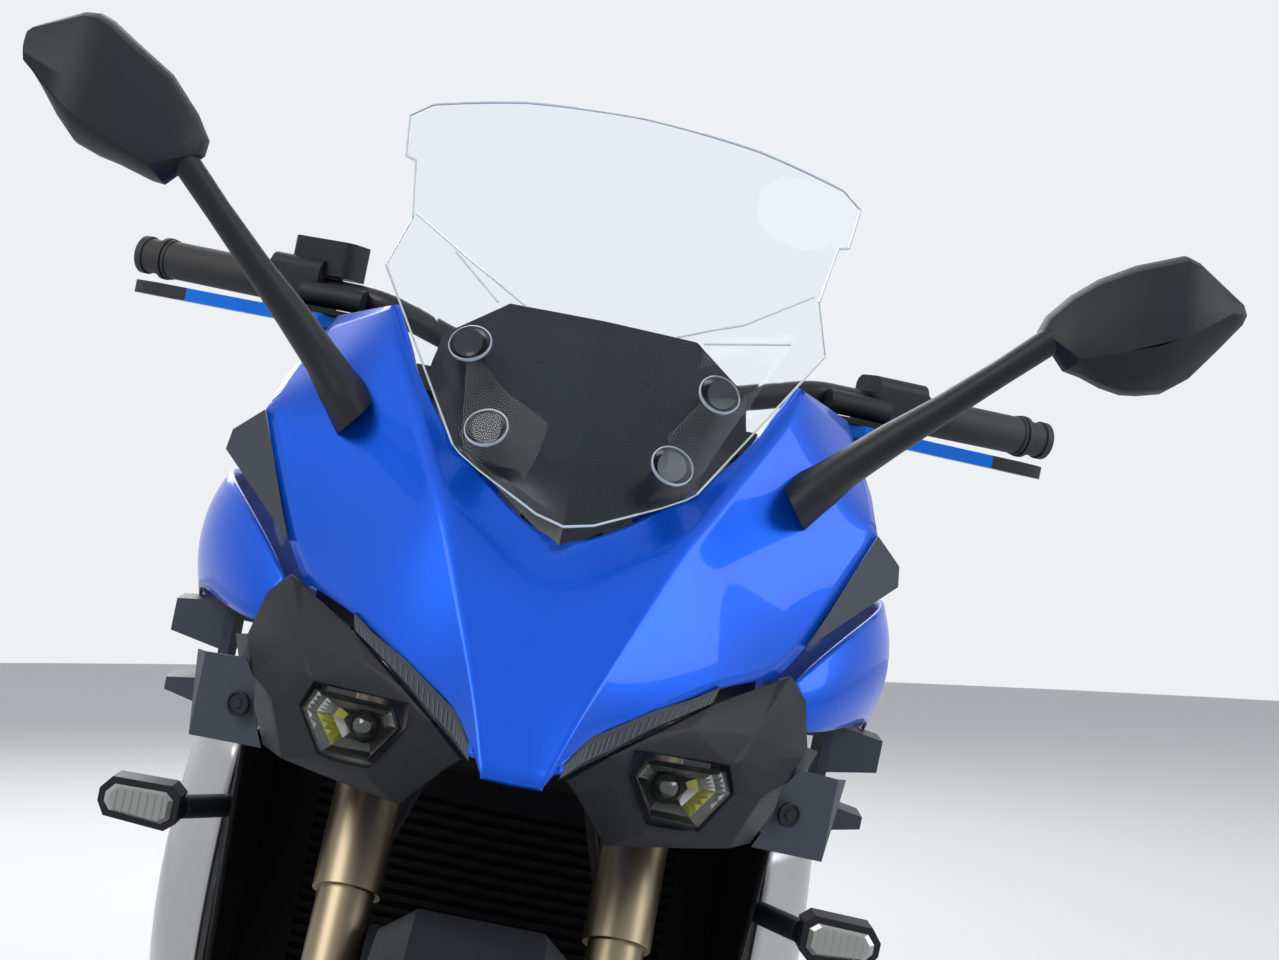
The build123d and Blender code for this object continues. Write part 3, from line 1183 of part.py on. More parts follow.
with BuildPart() as mirrors:
    for side in SIDES:
        add(through([(across(MIRROR_Y + depth), mirror_ring(side, scale)) for depth,
                     scale in MIRROR_SECTIONS]))
        stalk = []
        for centre, nx, nz, deep, tall in STALK_SECTIONS:
            plane = Plane(origin=flip(side, [centre])[0], x_dir=(0, 1, 0), z_dir=(side * nx, -0.1, nz))
            stalk.append((plane, [(-deep, -0.5 * tall), (-0.6 * deep, -tall), (0.6 * deep, -tall),
                                  (deep, -0.5 * tall),
                                  (deep, 0.5 * tall), (0.6 * deep, tall), (-0.6 * deep, tall),
                                  (-deep, 0.5 * tall)]))
        add(through(stalk))
        extrude(outline(across(MIRROR_Y), mirror_ring(side, 0.9)), amount=GLASS_SEAT, mode=Mode.SUBTRACT)
    add(nose_surface(-SEAT_GAP, 60), mode=Mode.SUBTRACT)
mirrors.part.label = "mirrors"

with BuildPart() as mirror_glass:
    for side in SIDES:
        extrude(outline(across(MIRROR_Y - 2), mirror_ring(side, 0.89)), amount=GLASS_SEAT - 3)
mirror_glass.part.label = "mirror_glass"

# Foot controls: rider's and pillion's brackets with pegs, gear pedal left, brake pedal right
PEDAL_X = 212
with BuildPart() as foot_controls:
    for side in SIDES:
        low = PLATE_INNER_X + PLATE_THICK + SEAT_GAP
        add(slab(*sorted((side * low, side * (low + 14))), [
            (850, 340), (890, 296), (960, 350), (950, 450), (905, 470)]))
        add(rod((side * (low + 14), 920, 352), (side * (low + 104), 928, 355), 11))
        high = RAIL_X + RAIL_RADIUS + SEAT_GAP
        add(slab(*sorted((side * high, side * (high + 12))),
                 [(1020, 752), (1075, 752), (1150, 470), (1118, 460)]))
        add(rod((side * (high + 12), 1134, 480), (side * (high + 94), 1140, 482), 10))
        add(slab(*sorted((side * PEDAL_X, side * (PEDAL_X + 9))), [
            (718, 330), (726, 320), (892, 300), (900, 316), (730, 342)]))
        add(rod((side * (low + 13), 888, 310), (side * PEDAL_X, 888, 310), 8))
        add(rod((side * (PEDAL_X + 9), 726, 331), (side * (PEDAL_X + 44), 726, 331), 8))
foot_controls.part.label = "foot_controls"

# Brake hoses from the reservoir side down the fork to both calipers
HOSE_RADIUS = 4
HOSE_TOP = STEER.from_local_coords(Vector(66, 8, LOWER_YOKE_AT - SEAT_GAP))
HOSE_NEXT = STEER.from_local_coords(Vector(66, 8, LOWER_YOKE_AT - 70))
HOSE_END_ANGLE = radians(146)
with BuildPart() as brake_hoses:
    for side in SIDES:
        reach = [(CALIPER_OUTSIDE + SEAT_GAP) * f for f in (1, 1.22)]
        low = [(78, -cos(HOSE_END_ANGLE) * r, FRONT_RADIUS + sin(HOSE_END_ANGLE) * r) for r in reach]
        with BuildLine() as hose:
            FilletPolyline(*[(side * x, y, z) for x, y, z in (
                tuple(HOSE_TOP), tuple(HOSE_NEXT), (96, 196, 590), (94, 186, 500), low[1], low[0])],
                radius=26)
        with BuildSketch(Plane(origin=hose.line @ 0, z_dir=hose.line % 0)):
            Circle(HOSE_RADIUS)
        sweep()
brake_hoses.part.label = "brake_hoses"

# Side stand, out: leg with its eye on the frame's pin, foot flat on the floor
with BuildPart() as side_stand:
    add(through([
        (Plane(origin=STAND_PIVOT + STAND_LEG * 8, x_dir=STAND_AXIS, z_dir=STAND_LEG),
         [(-7.5, -13), (7.5, -13), (7.5, 13), (-7.5, 13)]),
        (Plane(origin=STAND_PIVOT + STAND_LEG * (STAND_LENGTH - 6), x_dir=STAND_AXIS, z_dir=STAND_LEG),
         [(-9, -11), (9, -11), (9, 11), (-9, 11)])]))
    add(rod(STAND_PIVOT - STAND_AXIS * 7.5, STAND_PIVOT + STAND_AXIS * 7.5, 19))
    add(rod(STAND_PIVOT - STAND_AXIS * 20, STAND_PIVOT + STAND_AXIS * 20, STAND_PIN + BEARING_GAP),
        mode=Mode.SUBTRACT)
    with BuildSketch(Plane(origin=STAND_FOOT, x_dir=(cos(radians(LEAN)), 0, sin(radians(LEAN))),
                           z_dir=(-sin(radians(LEAN)), 0, cos(radians(LEAN))))):
        RectangleRounded(56, 74, 20)
    extrude(amount=9)
side_stand.part.label = "side_stand"

# Leaned onto the side stand, with the origin on the floor under the middle
LIFT = REAR_CROWN_RADIUS * (1 - cos(radians(LEAN)))
MIDDLE_X = MIRROR_TIP_Z * sin(radians(LEAN))
MIDDLE_Y = (MACHINE_LENGTH_BEHIND - FRONT_RADIUS) / 2
PARKED = Location((-MIDDLE_X, -MIDDLE_Y, LIFT), (0, LEAN, 0))
PIECES = (
    front_tyre, rear_tyre, front_rim, rear_rim, front_discs, rear_disc, rear_sprocket, chain, fork_legs,
    front_axle, yokes, handlebar, grips, switchgear, levers, front_mudguard, front_calipers, main_frame,
    engine, radiator, exhaust_headers, muffler, swingarm, rear_shock, rear_hugger, rear_caliper,
    subframe, fuel_tank, fuel_cap, rider_seat, pillion_seat, tail_cowl, tail_lamp, grab_rails,
    plate_bracket, upper_cowl, windscreen, dash, cowl_stay, lamp_cowls, headlamps, position_lamps,
    side_cowls, lower_cowls, inner_cowls, side_fins, turn_signals, mirrors, mirror_glass, foot_controls,
    brake_hoses, side_stand,
)
os.makedirs("parts", exist_ok=True)
for piece in PIECES:
    parked = piece.part.moved(PARKED)
    parked.label = piece.part.label
    export_step(parked, f"parts/{parked.label}.step")
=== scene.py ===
from math import cos, pi, radians, sin

import bmesh
import bpy
from mathutils import Matrix, Vector


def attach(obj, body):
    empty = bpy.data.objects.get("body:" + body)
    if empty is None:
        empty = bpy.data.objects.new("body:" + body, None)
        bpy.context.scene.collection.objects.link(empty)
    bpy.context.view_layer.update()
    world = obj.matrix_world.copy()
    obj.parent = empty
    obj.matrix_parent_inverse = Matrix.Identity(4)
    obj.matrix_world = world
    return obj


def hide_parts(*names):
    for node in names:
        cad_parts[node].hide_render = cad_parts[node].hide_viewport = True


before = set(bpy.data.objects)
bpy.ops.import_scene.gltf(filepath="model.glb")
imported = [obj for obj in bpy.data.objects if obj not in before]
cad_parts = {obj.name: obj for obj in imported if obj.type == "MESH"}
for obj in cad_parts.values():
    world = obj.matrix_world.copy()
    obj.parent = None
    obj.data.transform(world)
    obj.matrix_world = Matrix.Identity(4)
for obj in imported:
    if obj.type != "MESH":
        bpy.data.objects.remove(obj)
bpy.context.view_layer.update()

scene = bpy.context.scene
scene.view_settings.view_transform = "Standard"

# Photographer's place: in front of the nose, a little above the lamps, with a
# short telephoto lens. The camera leans a degree and a half to one side.
LENS = 69.36
YAW, PITCH, ROLL = radians(1.9008), radians(-0.127), radians(-1.6736)
forward = Vector((sin(YAW) * cos(PITCH), cos(YAW) * cos(PITCH), sin(PITCH)))
level_right = Vector((cos(YAW), -sin(YAW), 0))
level_up = level_right.cross(forward)
right = level_right * cos(ROLL) - level_up * sin(ROLL)
up = level_right * sin(ROLL) + level_up * cos(ROLL)
lens = bpy.data.cameras.new("front_view")
lens.lens = LENS
lens.sensor_width = 36
lens.sensor_fit = "HORIZONTAL"
lens.clip_end = 60
camera = bpy.data.objects.new("front_view", lens)
turn = Matrix((right, up, -forward)).transposed().to_4x4()
camera.matrix_world = Matrix.Translation((-0.0513, -2.4718, 0.9257)) @ turn
scene.collection.objects.link(camera)
scene.camera = camera

# Studio: a pale floor under a white surround, one wide soft lamp high in front,
# a second from the side and a weak one behind for the machine's outline.
FLOOR_COLOUR = (0.80, 0.80, 0.79, 1)
world = bpy.data.worlds.new("surround")
scene.world = world
world.use_nodes = True
tree = world.node_tree
tree.nodes.clear()
path = tree.nodes.new("ShaderNodeLightPath")
seen = tree.nodes.new("ShaderNodeMath")
seen.operation = "MAXIMUM"
through = tree.nodes.new("ShaderNodeMath")
through.operation = "MAXIMUM"
tree.links.new(path.outputs["Is Camera Ray"], seen.inputs[0])
tree.links.new(path.outputs["Is Transmission Ray"], seen.inputs[1])
tree.links.new(seen.outputs[0], through.inputs[0])
tree.links.new(path.outputs["Is Glossy Ray"], through.inputs[1])
ambient = tree.nodes.new("ShaderNodeBackground")
ambient.inputs["Color"].default_value = (0.86, 0.92, 1.0, 1)
ambient.inputs["Strength"].default_value = 0.45
backdrop = tree.nodes.new("ShaderNodeBackground")
backdrop.inputs["Color"].default_value = (0.93, 0.95, 0.97, 1)
backdrop.inputs["Strength"].default_value = 0.92
mix = tree.nodes.new("ShaderNodeMixShader")
tree.links.new(through.outputs[0], mix.inputs["Fac"])
tree.links.new(ambient.outputs[0], mix.inputs[1])
tree.links.new(backdrop.outputs[0], mix.inputs[2])
out = tree.nodes.new("ShaderNodeOutputWorld")
tree.links.new(mix.outputs[0], out.inputs["Surface"])

for name, place, aim, size, power, colour in (
        ("key_lamp", (-2.6, -3.2, 4.2), (0, -0.6, 0.8), 3.0, 150, (1.0, 0.98, 0.95)),
        ("side_lamp", (3.6, -1.4, 2.6), (0, -0.4, 0.8), 2.4, 80, (0.93, 0.97, 1.0)),
        ("rear_lamp", (-1.0, 4.0, 3.4), (0, 0.2, 0.7), 3.0, 110, (1.0, 1.0, 1.0))):
    lamp = bpy.data.lights.new(name, "AREA")
    lamp.size = size
    lamp.energy = power
    lamp.color = colour
    light = bpy.data.objects.new(name, lamp)
    light.location = place
    light.rotation_euler = (Vector(aim) - Vector(place)).to_track_quat("-Z", "Y").to_euler()
    scene.collection.objects.link(light)

floor_bm = bmesh.new()
bmesh.ops.create_circle(floor_bm, cap_ends=True, segments=96, radius=9)
floor_mesh = bpy.data.meshes.new("floor")
floor_bm.to_mesh(floor_mesh)
floor_bm.free()
floor = bpy.data.objects.new("floor", floor_mesh)
scene.collection.objects.link(floor)
floor_paint = bpy.data.materials.new("floor_paint")
floor_paint.use_nodes = True
shader = floor_paint.node_tree.nodes["Principled BSDF"]
shader.inputs["Base Color"].default_value = FLOOR_COLOUR
shader.inputs["Roughness"].default_value = 0.7
floor_mesh.materials.append(floor_paint)

# Frame and subframe: welded steel beams and tubes under a satin black coating,
# with soft edges where the plates were bent. Everything else is bolted to them.
LEAN = radians(10)
PARKED = Matrix.Translation((-0.202474, -0.770, 0.001519)) @ Matrix.Rotation(LEAN, 4, "Y")
MILLIMETRES = PARKED @ Matrix.Scale(0.001, 4)
WELD = 0.00002                   # metres within which a CAD mesh's points are one
FLAT = 0.6                       # degrees under which neighbouring faces are one plane


def finish(name, colour, roughness, metallic=0.0, coat=0.0, grain=900, depth=0.04, tint=0.06, **sockets):
    """Surface with fine grain, a slow change of tone and an optional clear coat."""
    made = bpy.data.materials.new(name)
    made.use_nodes = True
    nodes, links = made.node_tree.nodes, made.node_tree.links
    shader = nodes["Principled BSDF"]
    shader.inputs["Metallic"].default_value = metallic
    shader.inputs["Coat Weight"].default_value = coat
    shader.inputs["Coat Roughness"].default_value = 0.03
    for socket, value in sockets.items():
        shader.inputs[socket.replace("_", " ")].default_value = value
    place = nodes.new("ShaderNodeTexCoord")
    slow = nodes.new("ShaderNodeTexNoise")
    slow.inputs["Scale"].default_value = 7
    slow.inputs["Detail"].default_value = 4
    fine = nodes.new("ShaderNodeTexNoise")
    fine.inputs["Scale"].default_value = grain
    fine.inputs["Detail"].default_value = 3
    links.new(place.outputs["Object"], slow.inputs["Vector"])
    links.new(place.outputs["Object"], fine.inputs["Vector"])
    tone = nodes.new("ShaderNodeMix")
    tone.data_type = "RGBA"
    tone.inputs["A"].default_value = (*[c * (1 - tint) for c in colour], 1)
    tone.inputs["B"].default_value = (*[min(1, c * (1 + tint)) for c in colour], 1)
    links.new(slow.outputs["Fac"], tone.inputs["Factor"])
    links.new(tone.outputs["Result"], shader.inputs["Base Color"])
    rough = nodes.new("ShaderNodeMapRange")
    rough.inputs["To Min"].default_value = roughness * 0.88
    rough.inputs["To Max"].default_value = min(1, roughness * 1.12)
    links.new(slow.outputs["Fac"], rough.inputs["Value"])
    links.new(rough.outputs["Result"], shader.inputs["Roughness"])
    bump = nodes.new("ShaderNodeBump")
    bump.inputs["Strength"].default_value = depth
    bump.inputs["Distance"].default_value = 0.0006
    links.new(fine.outputs["Fac"], bump.inputs["Height"])
    links.new(bump.outputs["Normal"], shader.inputs["Normal"])
    return made


def place_piece(name, bm, body, material, smooth=35, nodes=(), millimetres=True):
    """Turns modelled millimetres into the parked machine's place and gives the piece its body."""
    if millimetres:
        bmesh.ops.transform(bm, matrix=MILLIMETRES, verts=bm.verts)
    for edge in bm.edges:
        edge.smooth = len(edge.link_faces) < 2 or edge.calc_face_angle(0) < radians(smooth)
    for face in bm.faces:
        face.smooth = True
    mesh = bpy.data.meshes.new(name)
    bm.to_mesh(mesh)
    bm.free()
    for one in (material if isinstance(material, (list, tuple)) else [material]):
        mesh.materials.append(one)
    piece = bpy.data.objects.new(name, mesh)
    scene.collection.objects.link(piece)
    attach(piece, body)
    if nodes:
        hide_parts(*nodes)
    return piece


def softened(node, body, material, width=1.5, sharp=28):
    """The CAD piece with its edges rounded, as a coated or moulded part has them."""
    bm = bmesh.new()
    bm.from_mesh(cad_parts[node].data)
    bmesh.ops.remove_doubles(bm, verts=bm.verts, dist=WELD)
    bmesh.ops.dissolve_limit(bm, angle_limit=radians(FLAT), verts=bm.verts, edges=bm.edges)
    piece = place_piece(
        node + "_part", bm, body, material, smooth=sharp, nodes=[node], millimetres=False)
    round_edges(piece, width / 1000, sharp)
    return piece


def round_edges(piece, width, sharp=28, segments=2):
    """Live bevel over every edge sharper than an angle."""
    bevel = piece.modifiers.new("edges", "BEVEL")
    bevel.width = width
    bevel.segments = segments
    bevel.limit_method = "ANGLE"
    bevel.angle_limit = radians(sharp)
    bevel.harden_normals = False


black_coat = finish("black_coat", (0.010, 0.010, 0.012), 0.40, coat=0.1, grain=1400,
                    Specular_IOR_Level=0.3)
matte_black = finish("matte_black", (0.009, 0.011, 0.015), 0.50, grain=1900, depth=0.2,
                     Specular_IOR_Level=0.25)
for node in ("main_frame", "subframe"):
    softened(node, "machine", black_coat, 2)

# Engine: cast cases with machined covers in dark grey, between the frame's beams,
# behind a finned radiator core with its two side tanks.
case_metal = finish("case_metal", (0.16, 0.16, 0.165), 0.48, metallic=0.8, grain=600, depth=0.3)
softened("engine", "machine", case_metal, 3)
# The radiator core is black, but taken darker and duller than the other blacks: painted shade for the shadow
# behind the fork.
core_black_and_shade = finish("core_black_and_shade", (0.004, 0.004, 0.005), 0.7, grain=1900, Specular_IOR_Level=0.12)
softened("radiator", "machine", core_black_and_shade, 2)

# Exhaust: bent stainless headers under the engine into a collector, and a short
# brushed muffler on the right.
pipe_steel = finish("pipe_steel", (0.46, 0.42, 0.37), 0.28, metallic=1.0, grain=300, tint=0.16)
softened("exhaust_headers", "machine", pipe_steel, 1)
softened("muffler", "machine", pipe_steel, 3)

# Swingarm: a satin aluminium box section arm on the frame's pivot plates. It carries the
# coated shock, the moulded hugger over the tyre and the rear caliper.
satin_alloy = finish("satin_alloy", (0.45, 0.45, 0.46), 0.34, metallic=1.0, grain=700)
softened("swingarm", "machine", satin_alloy, 3)
softened("rear_shock", "machine", black_coat, 1)
softened("rear_hugger", "machine", matte_black, 1)
softened("rear_caliper", "machine", black_coat, 2)

# Wheels: rims cast in aluminium under satin black, with ground steel discs and a sprocket
# bolted to their hubs, a steel chain, and rubber tyres moulded with slanted water grooves.
rubber = finish("tyre_rubber", (0.018, 0.018, 0.019), 0.72, grain=1500, depth=0.25)
disc_steel = finish("disc_steel", (0.55, 0.55, 0.56), 0.26, metallic=1.0, grain=900)
for node, body in (("front_rim", "front_wheel"), ("rear_rim", "rear_wheel")):
    softened(node, body, black_coat, 1.5)
for node, body in (("front_discs", "front_wheel"), ("rear_disc", "rear_wheel"),
                   ("rear_sprocket", "rear_wheel")):
    softened(node, body, disc_steel, 0.4)
softened("chain", "machine", disc_steel, 0.4)


TREAD_STEPS = (0.0, 0.30, 0.36, 0.48, 0.54, 0.80)   # share of one repeat of the pattern
GROOVE_STEPS = (2, 3)
GROOVE_SHARE = (0.12, 0.86)      # from the middle of the tread to its edge
GROOVE_SLANT = 1.1


def tyre(node, body, centre, radius, crown, stop, bead, repeats, groove=4.0):
    """Tread with slanted water grooves on a rounded crown, and sidewalls down to the rim."""
    bm = bmesh.new()
    tread = [stop * k / 12 for k in range(-12, 13)]
    edge_x, edge_r = crown * sin(radians(stop)), radius - crown + crown * cos(radians(stop))
    wall = ((edge_x * 0.99, edge_r - 7), (edge_x * 0.94, edge_r - 13), (bead + 1, 219), (bead, 216))
    crown_line = [(crown * sin(radians(a)), radius - crown + crown * cos(radians(a)), a) for a in tread]
    rings = []
    for k in range(repeats * len(TREAD_STEPS)):
        repeat, phase = divmod(k, len(TREAD_STEPS))
        ring = []
        for x, r, angle in ([(-x, r, -stop) for x, r in reversed(wall)] + crown_line
                            + [(x, r, stop) for x, r in wall]):
            side = 1 if angle > 0 else -1
            share = abs(angle) / stop
            cut = (phase in GROOVE_STEPS and GROOVE_SHARE[0] < share < GROOVE_SHARE[1]
                   and (side > 0) == (repeat % 2 == 0))
            turn = 2 * pi * (repeat + TREAD_STEPS[phase] + GROOVE_SLANT * share) / repeats
            reach = r - (groove if cut else 0)
            ring.append(bm.verts.new((
                centre[0] + x, centre[1] - reach * cos(turn), centre[2] + reach * sin(turn))))
        rings.append(ring)
    for low, high in zip(rings, rings[1:] + rings[:1]):
        for i in range(len(low) - 1):
            bm.faces.new((low[i], low[i + 1], high[i + 1], high[i]))
    bmesh.ops.recalc_face_normals(bm, faces=bm.faces)
    return place_piece(node + "_rubber", bm, body, rubber, nodes=[node], smooth=32)


tyre("front_tyre", "front_wheel", (0, 0, 300), 300, 60, 78, 44.5, 36)
tyre("rear_tyre", "rear_wheel", (0, 1460, 311), 311, 100, 70, 75.5, 34, groove=5.0)

# Fork: champagne anodised inverted tubes in black clamps, with the axle, the
# calipers and the mudguard on them.
# The champagne is darkened all over towards brown: painted shade for the shade on the tubes' upper parts.
gold_alloy = finish("gold_alloy", (0.25, 0.205, 0.14), 0.38, metallic=1.0, grain=500, tint=0.1)
softened("fork_legs", "steering", gold_alloy, 1)
softened("front_axle", "steering", disc_steel, 1)
softened("yokes", "steering", black_coat, 2)
softened("front_calipers", "steering", black_coat, 2)
softened("front_mudguard", "steering", matte_black, 1)
softened("brake_hoses", "steering", rubber, 0.3)

# Handlebar: a black steel tube in the upper yoke's clamps, with ringed rubber grips pushed on,
# moulded switch housings, and blue anodised levers whose pivots and ends are black.
grip_rubber = finish("grip_rubber", (0.017, 0.017, 0.018), 0.66, grain=1200, depth=0.2)
blue_alloy = finish("blue_alloy", (0.01, 0.14, 0.62), 0.27, metallic=0.85, grain=900)
softened("handlebar", "steering", black_coat, 1)
softened("grips", "steering", grip_rubber, 1)
softened("switchgear", "steering", matte_black, 5)
BAR_END = Vector((407, 485, 1051))
BAR_DIRECTION = Vector((221, 109, 5)).normalized()
BAR_RINGS = (  # way in from the bar's end, radius, length
    (4, 16.6, 6), (26, 18.4, 4), (31, 17.6, 2), (134, 18.0, 2), (139, 20.5, 5))
LEVER_BLACK = (206, 352)         # across the machine, black is inside the one and outside the other


def mirrored(point, side):
    """The point on the rider's left, side 1, or its image on the right, side -1."""
    return Vector((side * point[0], point[1], point[2]))


bm = bmesh.new()
for side in (-1, 1):
    run = mirrored(BAR_DIRECTION, side)
    turn = run.to_track_quat("Z", "Y").to_matrix().to_4x4()
    for inward, radius, length in BAR_RINGS:
        place = Matrix.Translation(mirrored(BAR_END, side) - run * inward)
        bmesh.ops.create_cone(
            bm, cap_ends=True, segments=36, radius1=radius, radius2=radius, depth=length, matrix=place @ turn)
place_piece("grip_rings", bm, "steering", grip_rubber)
levers = softened("levers", "steering", blue_alloy, 1.5)
levers.data.materials.append(black_coat)
for face in levers.data.polygons:
    place = MILLIMETRES.inverted() @ face.center
    if not LEVER_BLACK[0] <= abs(place.x) <= LEVER_BLACK[1]:
        face.material_index = 1

# Tank: pressed steel halves welded and painted blue, bolted over the frame's beams. A turned
# alloy ring is screwed into its top, and the cap is hinged on that.
blue_paint = finish("blue_paint", (0.002, 0.085, 0.62), 0.36, metallic=0.45, coat=0.45, grain=2400,
                    depth=0.015, Specular_IOR_Level=0.15, Coat_IOR=1.32)
TANK_ROWS = [  # y, then half width and height of the floor, the shoulder and the top
    (432, 92, 882, 124, 908, 66, 952), (450, 110, 879, 150, 908, 88, 970),
    (505, 160, 870, 192, 912, 112, 986), (545, 166, 870, 198, 908, 112, 992),
    (606, 170, 836, 200, 892, 112, 992), (660, 172, 800, 200, 878, 108, 992),
    (700, 156, 794, 184, 862, 98, 974), (740, 132, 790, 160, 846, 86, 938),
    (785, 104, 790, 124, 822, 70, 884), (800, 92, 792, 108, 812, 60, 862)]


def closed_loft(bm, rings, material=0, cap=True):
    """Solid through rings with the same number of points."""
    made = [[bm.verts.new(point) for point in ring] for ring in rings]
    for low, high in zip(made, made[1:]):
        for k in range(len(low)):
            q = (k + 1) % len(low)
            bm.faces.new((low[k], low[q], high[q], high[k])).material_index = material
    if cap:
        bm.faces.new(made[0][::-1]).material_index = material
        bm.faces.new(made[-1]).material_index = material


def rounded(piece, levels=2):
    """Live subdivision of a closed cage."""
    smooth = piece.modifiers.new("curves", "SUBSURF")
    smooth.levels = levels
    smooth.render_levels = levels


bm = bmesh.new()
closed_loft(bm, [[(-xb, y, zb), (-xm, y, zm - 8), (-xm, y, zm + 12),
                  (-0.72 * xm - 0.28 * xt, y, 0.45 * zm + 0.55 * zt), (-xt, y, zt - 2),
                  (-0.55 * xt, y, zt), (0, y, zt), (0.55 * xt, y, zt), (xt, y, zt - 2),
                  (0.72 * xm + 0.28 * xt, y, 0.45 * zm + 0.55 * zt), (xm, y, zm + 12), (xm, y, zm - 8),
                  (xb, y, zb), (0, y, zb)]
                 for y, xb, zb, xm, zm, xt, zt in TANK_ROWS])
bmesh.ops.recalc_face_normals(bm, faces=bm.faces)
rounded(place_piece("fuel_tank_shell", bm, "machine", blue_paint,
                    nodes=["fuel_tank"], smooth=180))
bm = bmesh.new()
FILLER_Y = 606
FILLER_RING = ((53, 991.2), (53, 992.1), (50, 992.9), (44, 992.9), (44, 991.4))   # radius, height
closed_loft(bm, [[(r * cos(a), FILLER_Y + r * sin(a), z) for a in (2 * pi * k / 48 for k in range(48))]
                 for r, z in FILLER_RING], cap=False)
bmesh.ops.recalc_face_normals(bm, faces=bm.faces)
place_piece("filler_ring", bm, "machine", satin_alloy)
softened("fuel_cap", "fuel_cap", black_coat, 1)

# Seats: foam on a plastic pan under a grained cover that is stapled below, crowned in the middle,
# with a raised seam along each side of the top. Both hook into the subframe.
seat_cover = finish("seat_cover", (0.022, 0.022, 0.024), 0.6, grain=700, depth=0.5)
RIDER_ROWS = [  # y, half width, height of the floor and the side, then half width and height of the top
    (812, 64, 775, 806, 48, 828), (822, 78, 775, 812, 62, 842), (860, 118, 775, 804, 92, 822),
    (910, 146, 775, 798, 118, 812), (960, 162, 775, 796, 134, 809), (1005, 160, 775, 798, 132, 814),
    (1040, 152, 775, 804, 124, 828), (1066, 136, 775, 816, 112, 852), (1076, 126, 776, 820, 104, 858)]
PILLION_ROWS = [
    (1087, 108, 831, 852, 88, 870), (1096, 120, 831, 860, 98, 880), (1150, 130, 831, 864, 106, 886),
    (1220, 134, 831, 866, 110, 887), (1300, 120, 831, 869, 98, 890), (1370, 98, 831, 871, 78, 890),
    (1396, 82, 831, 868, 62, 884)]
SEAM_RADIUS = 1.8
cover_seam = finish("cover_seam", (0.05, 0.05, 0.054), 0.6, grain=700)
for name, rows, node in (("rider_cushion", RIDER_ROWS, "rider_seat"),
                         ("pillion_cushion", PILLION_ROWS, "pillion_seat")):
    bm = bmesh.new()
    closed_loft(bm, [[(-xm + 4, y, zb), (-xm, y, zb + 6), (-xm, y, zm), (-xt, y, zt - 1),
                      (-0.5 * xt, y, zt + 2), (0, y, zt + 3), (0.5 * xt, y, zt + 2), (xt, y, zt - 1),
                      (xm, y, zm), (xm, y, zb + 6), (xm - 4, y, zb), (0, y, zb)]
                     for y, xm, zb, zm, xt, zt in rows])
    bmesh.ops.recalc_face_normals(bm, faces=bm.faces)
    cushion = place_piece(name, bm, "machine", seat_cover, nodes=[node], smooth=180)
    rounded(cushion)
    bm = bmesh.new()
    for side in (-1, 1):
        line = [Vector((side * (xt + 1), y, zt - 1.5)) for y, xm, zb, zm, xt, zt in rows[1:-1]]
        rings = []
        for i, point in enumerate(line):
            ahead = (line[min(i + 1, len(line) - 1)] - line[max(i - 1, 0)]).normalized()
            out = ahead.cross(Vector((0, 0, 1))).normalized()
            up = out.cross(ahead)
            rings.append([point + SEAM_RADIUS * (out * cos(a) + up * sin(a))
                          for a in (2 * pi * k / 6 for k in range(6))])
        closed_loft(bm, rings)
    bmesh.ops.recalc_face_normals(bm, faces=bm.faces)
    place_piece(name + "_seam", bm, "machine", cover_seam)

# Tail: a painted cowl clipped to the subframe with its red lamp, coated steel grab rails screwed
# on above, and a moulded bracket that reaches back for the plate.
red_lens = finish("red_lens", (0.5, 0.01, 0.01), 0.1, coat=0.6)
softened("tail_cowl", "machine", blue_paint, 3)
softened("tail_lamp", "machine", red_lens, 1)
softened("grab_rails", "machine", black_coat, 1)
softened("plate_bracket", "machine", matte_black, 2)

# Nose cowl: one painted moulding. Two sharp ridges run from its flat tip up to the screen with
# a hollow channel between them, and its edges tuck behind the black panel and lamp surrounds.
def shell(rows, hard=(), corners=(), front=True):
    """Smooth panel on both sides of the machine, its hard columns kept as sharp ridges."""
    bm = bmesh.new()
    crease = bm.edges.layers.float.new("crease_edge")
    pinned = bm.verts.layers.float.new("crease_vert")
    for side in (-1, 1):
        grid = [[bm.verts.new((side * x, y, z)) for x, y, z in row] for row in rows]
        for low, high in zip(grid, grid[1:]):
            for i in range(len(low) - 1):
                ring = [low[i], low[i + 1], high[i + 1], high[i]]
                bm.faces.new(ring if side > 0 else ring[::-1])
            for column in hard:
                bm.edges.get((low[column], high[column]))[crease] = 1.0
        for row, column in corners:
            grid[row][column][pinned] = 1.0
    bmesh.ops.remove_doubles(bm, verts=bm.verts, dist=0.05)
    bmesh.ops.dissolve_degenerate(bm, edges=bm.edges, dist=0.05)
    bm.normal_update()
    facing = 0
    for face in bm.faces:
        inward = -face.normal.x if face.calc_center_median().x > 0 else face.normal.x
        facing += (face.normal.y if front else inward) * face.calc_area()
    if facing > 0:
        bmesh.ops.reverse_faces(bm, faces=bm.faces)
    return bm


def curved(piece, thick, levels=2):
    """Live subdivision and wall of a moulded panel, grown to the inside."""
    smooth = piece.modifiers.new("curves", "SUBSURF")
    smooth.levels = levels
    smooth.render_levels = levels
    smooth.boundary_smooth = "PRESERVE_CORNERS"
    wall = piece.modifiers.new("wall", "SOLIDIFY")
    wall.thickness = thick / 1000
    wall.offset = -1


def towards(a, b, part, bulge):
    """Point on the way from a to b, raised to the front by a bulge."""
    return tuple(p + part * (q - p) - (bulge if i == 1 else 0) for i, (p, q) in enumerate(zip(a, b)))


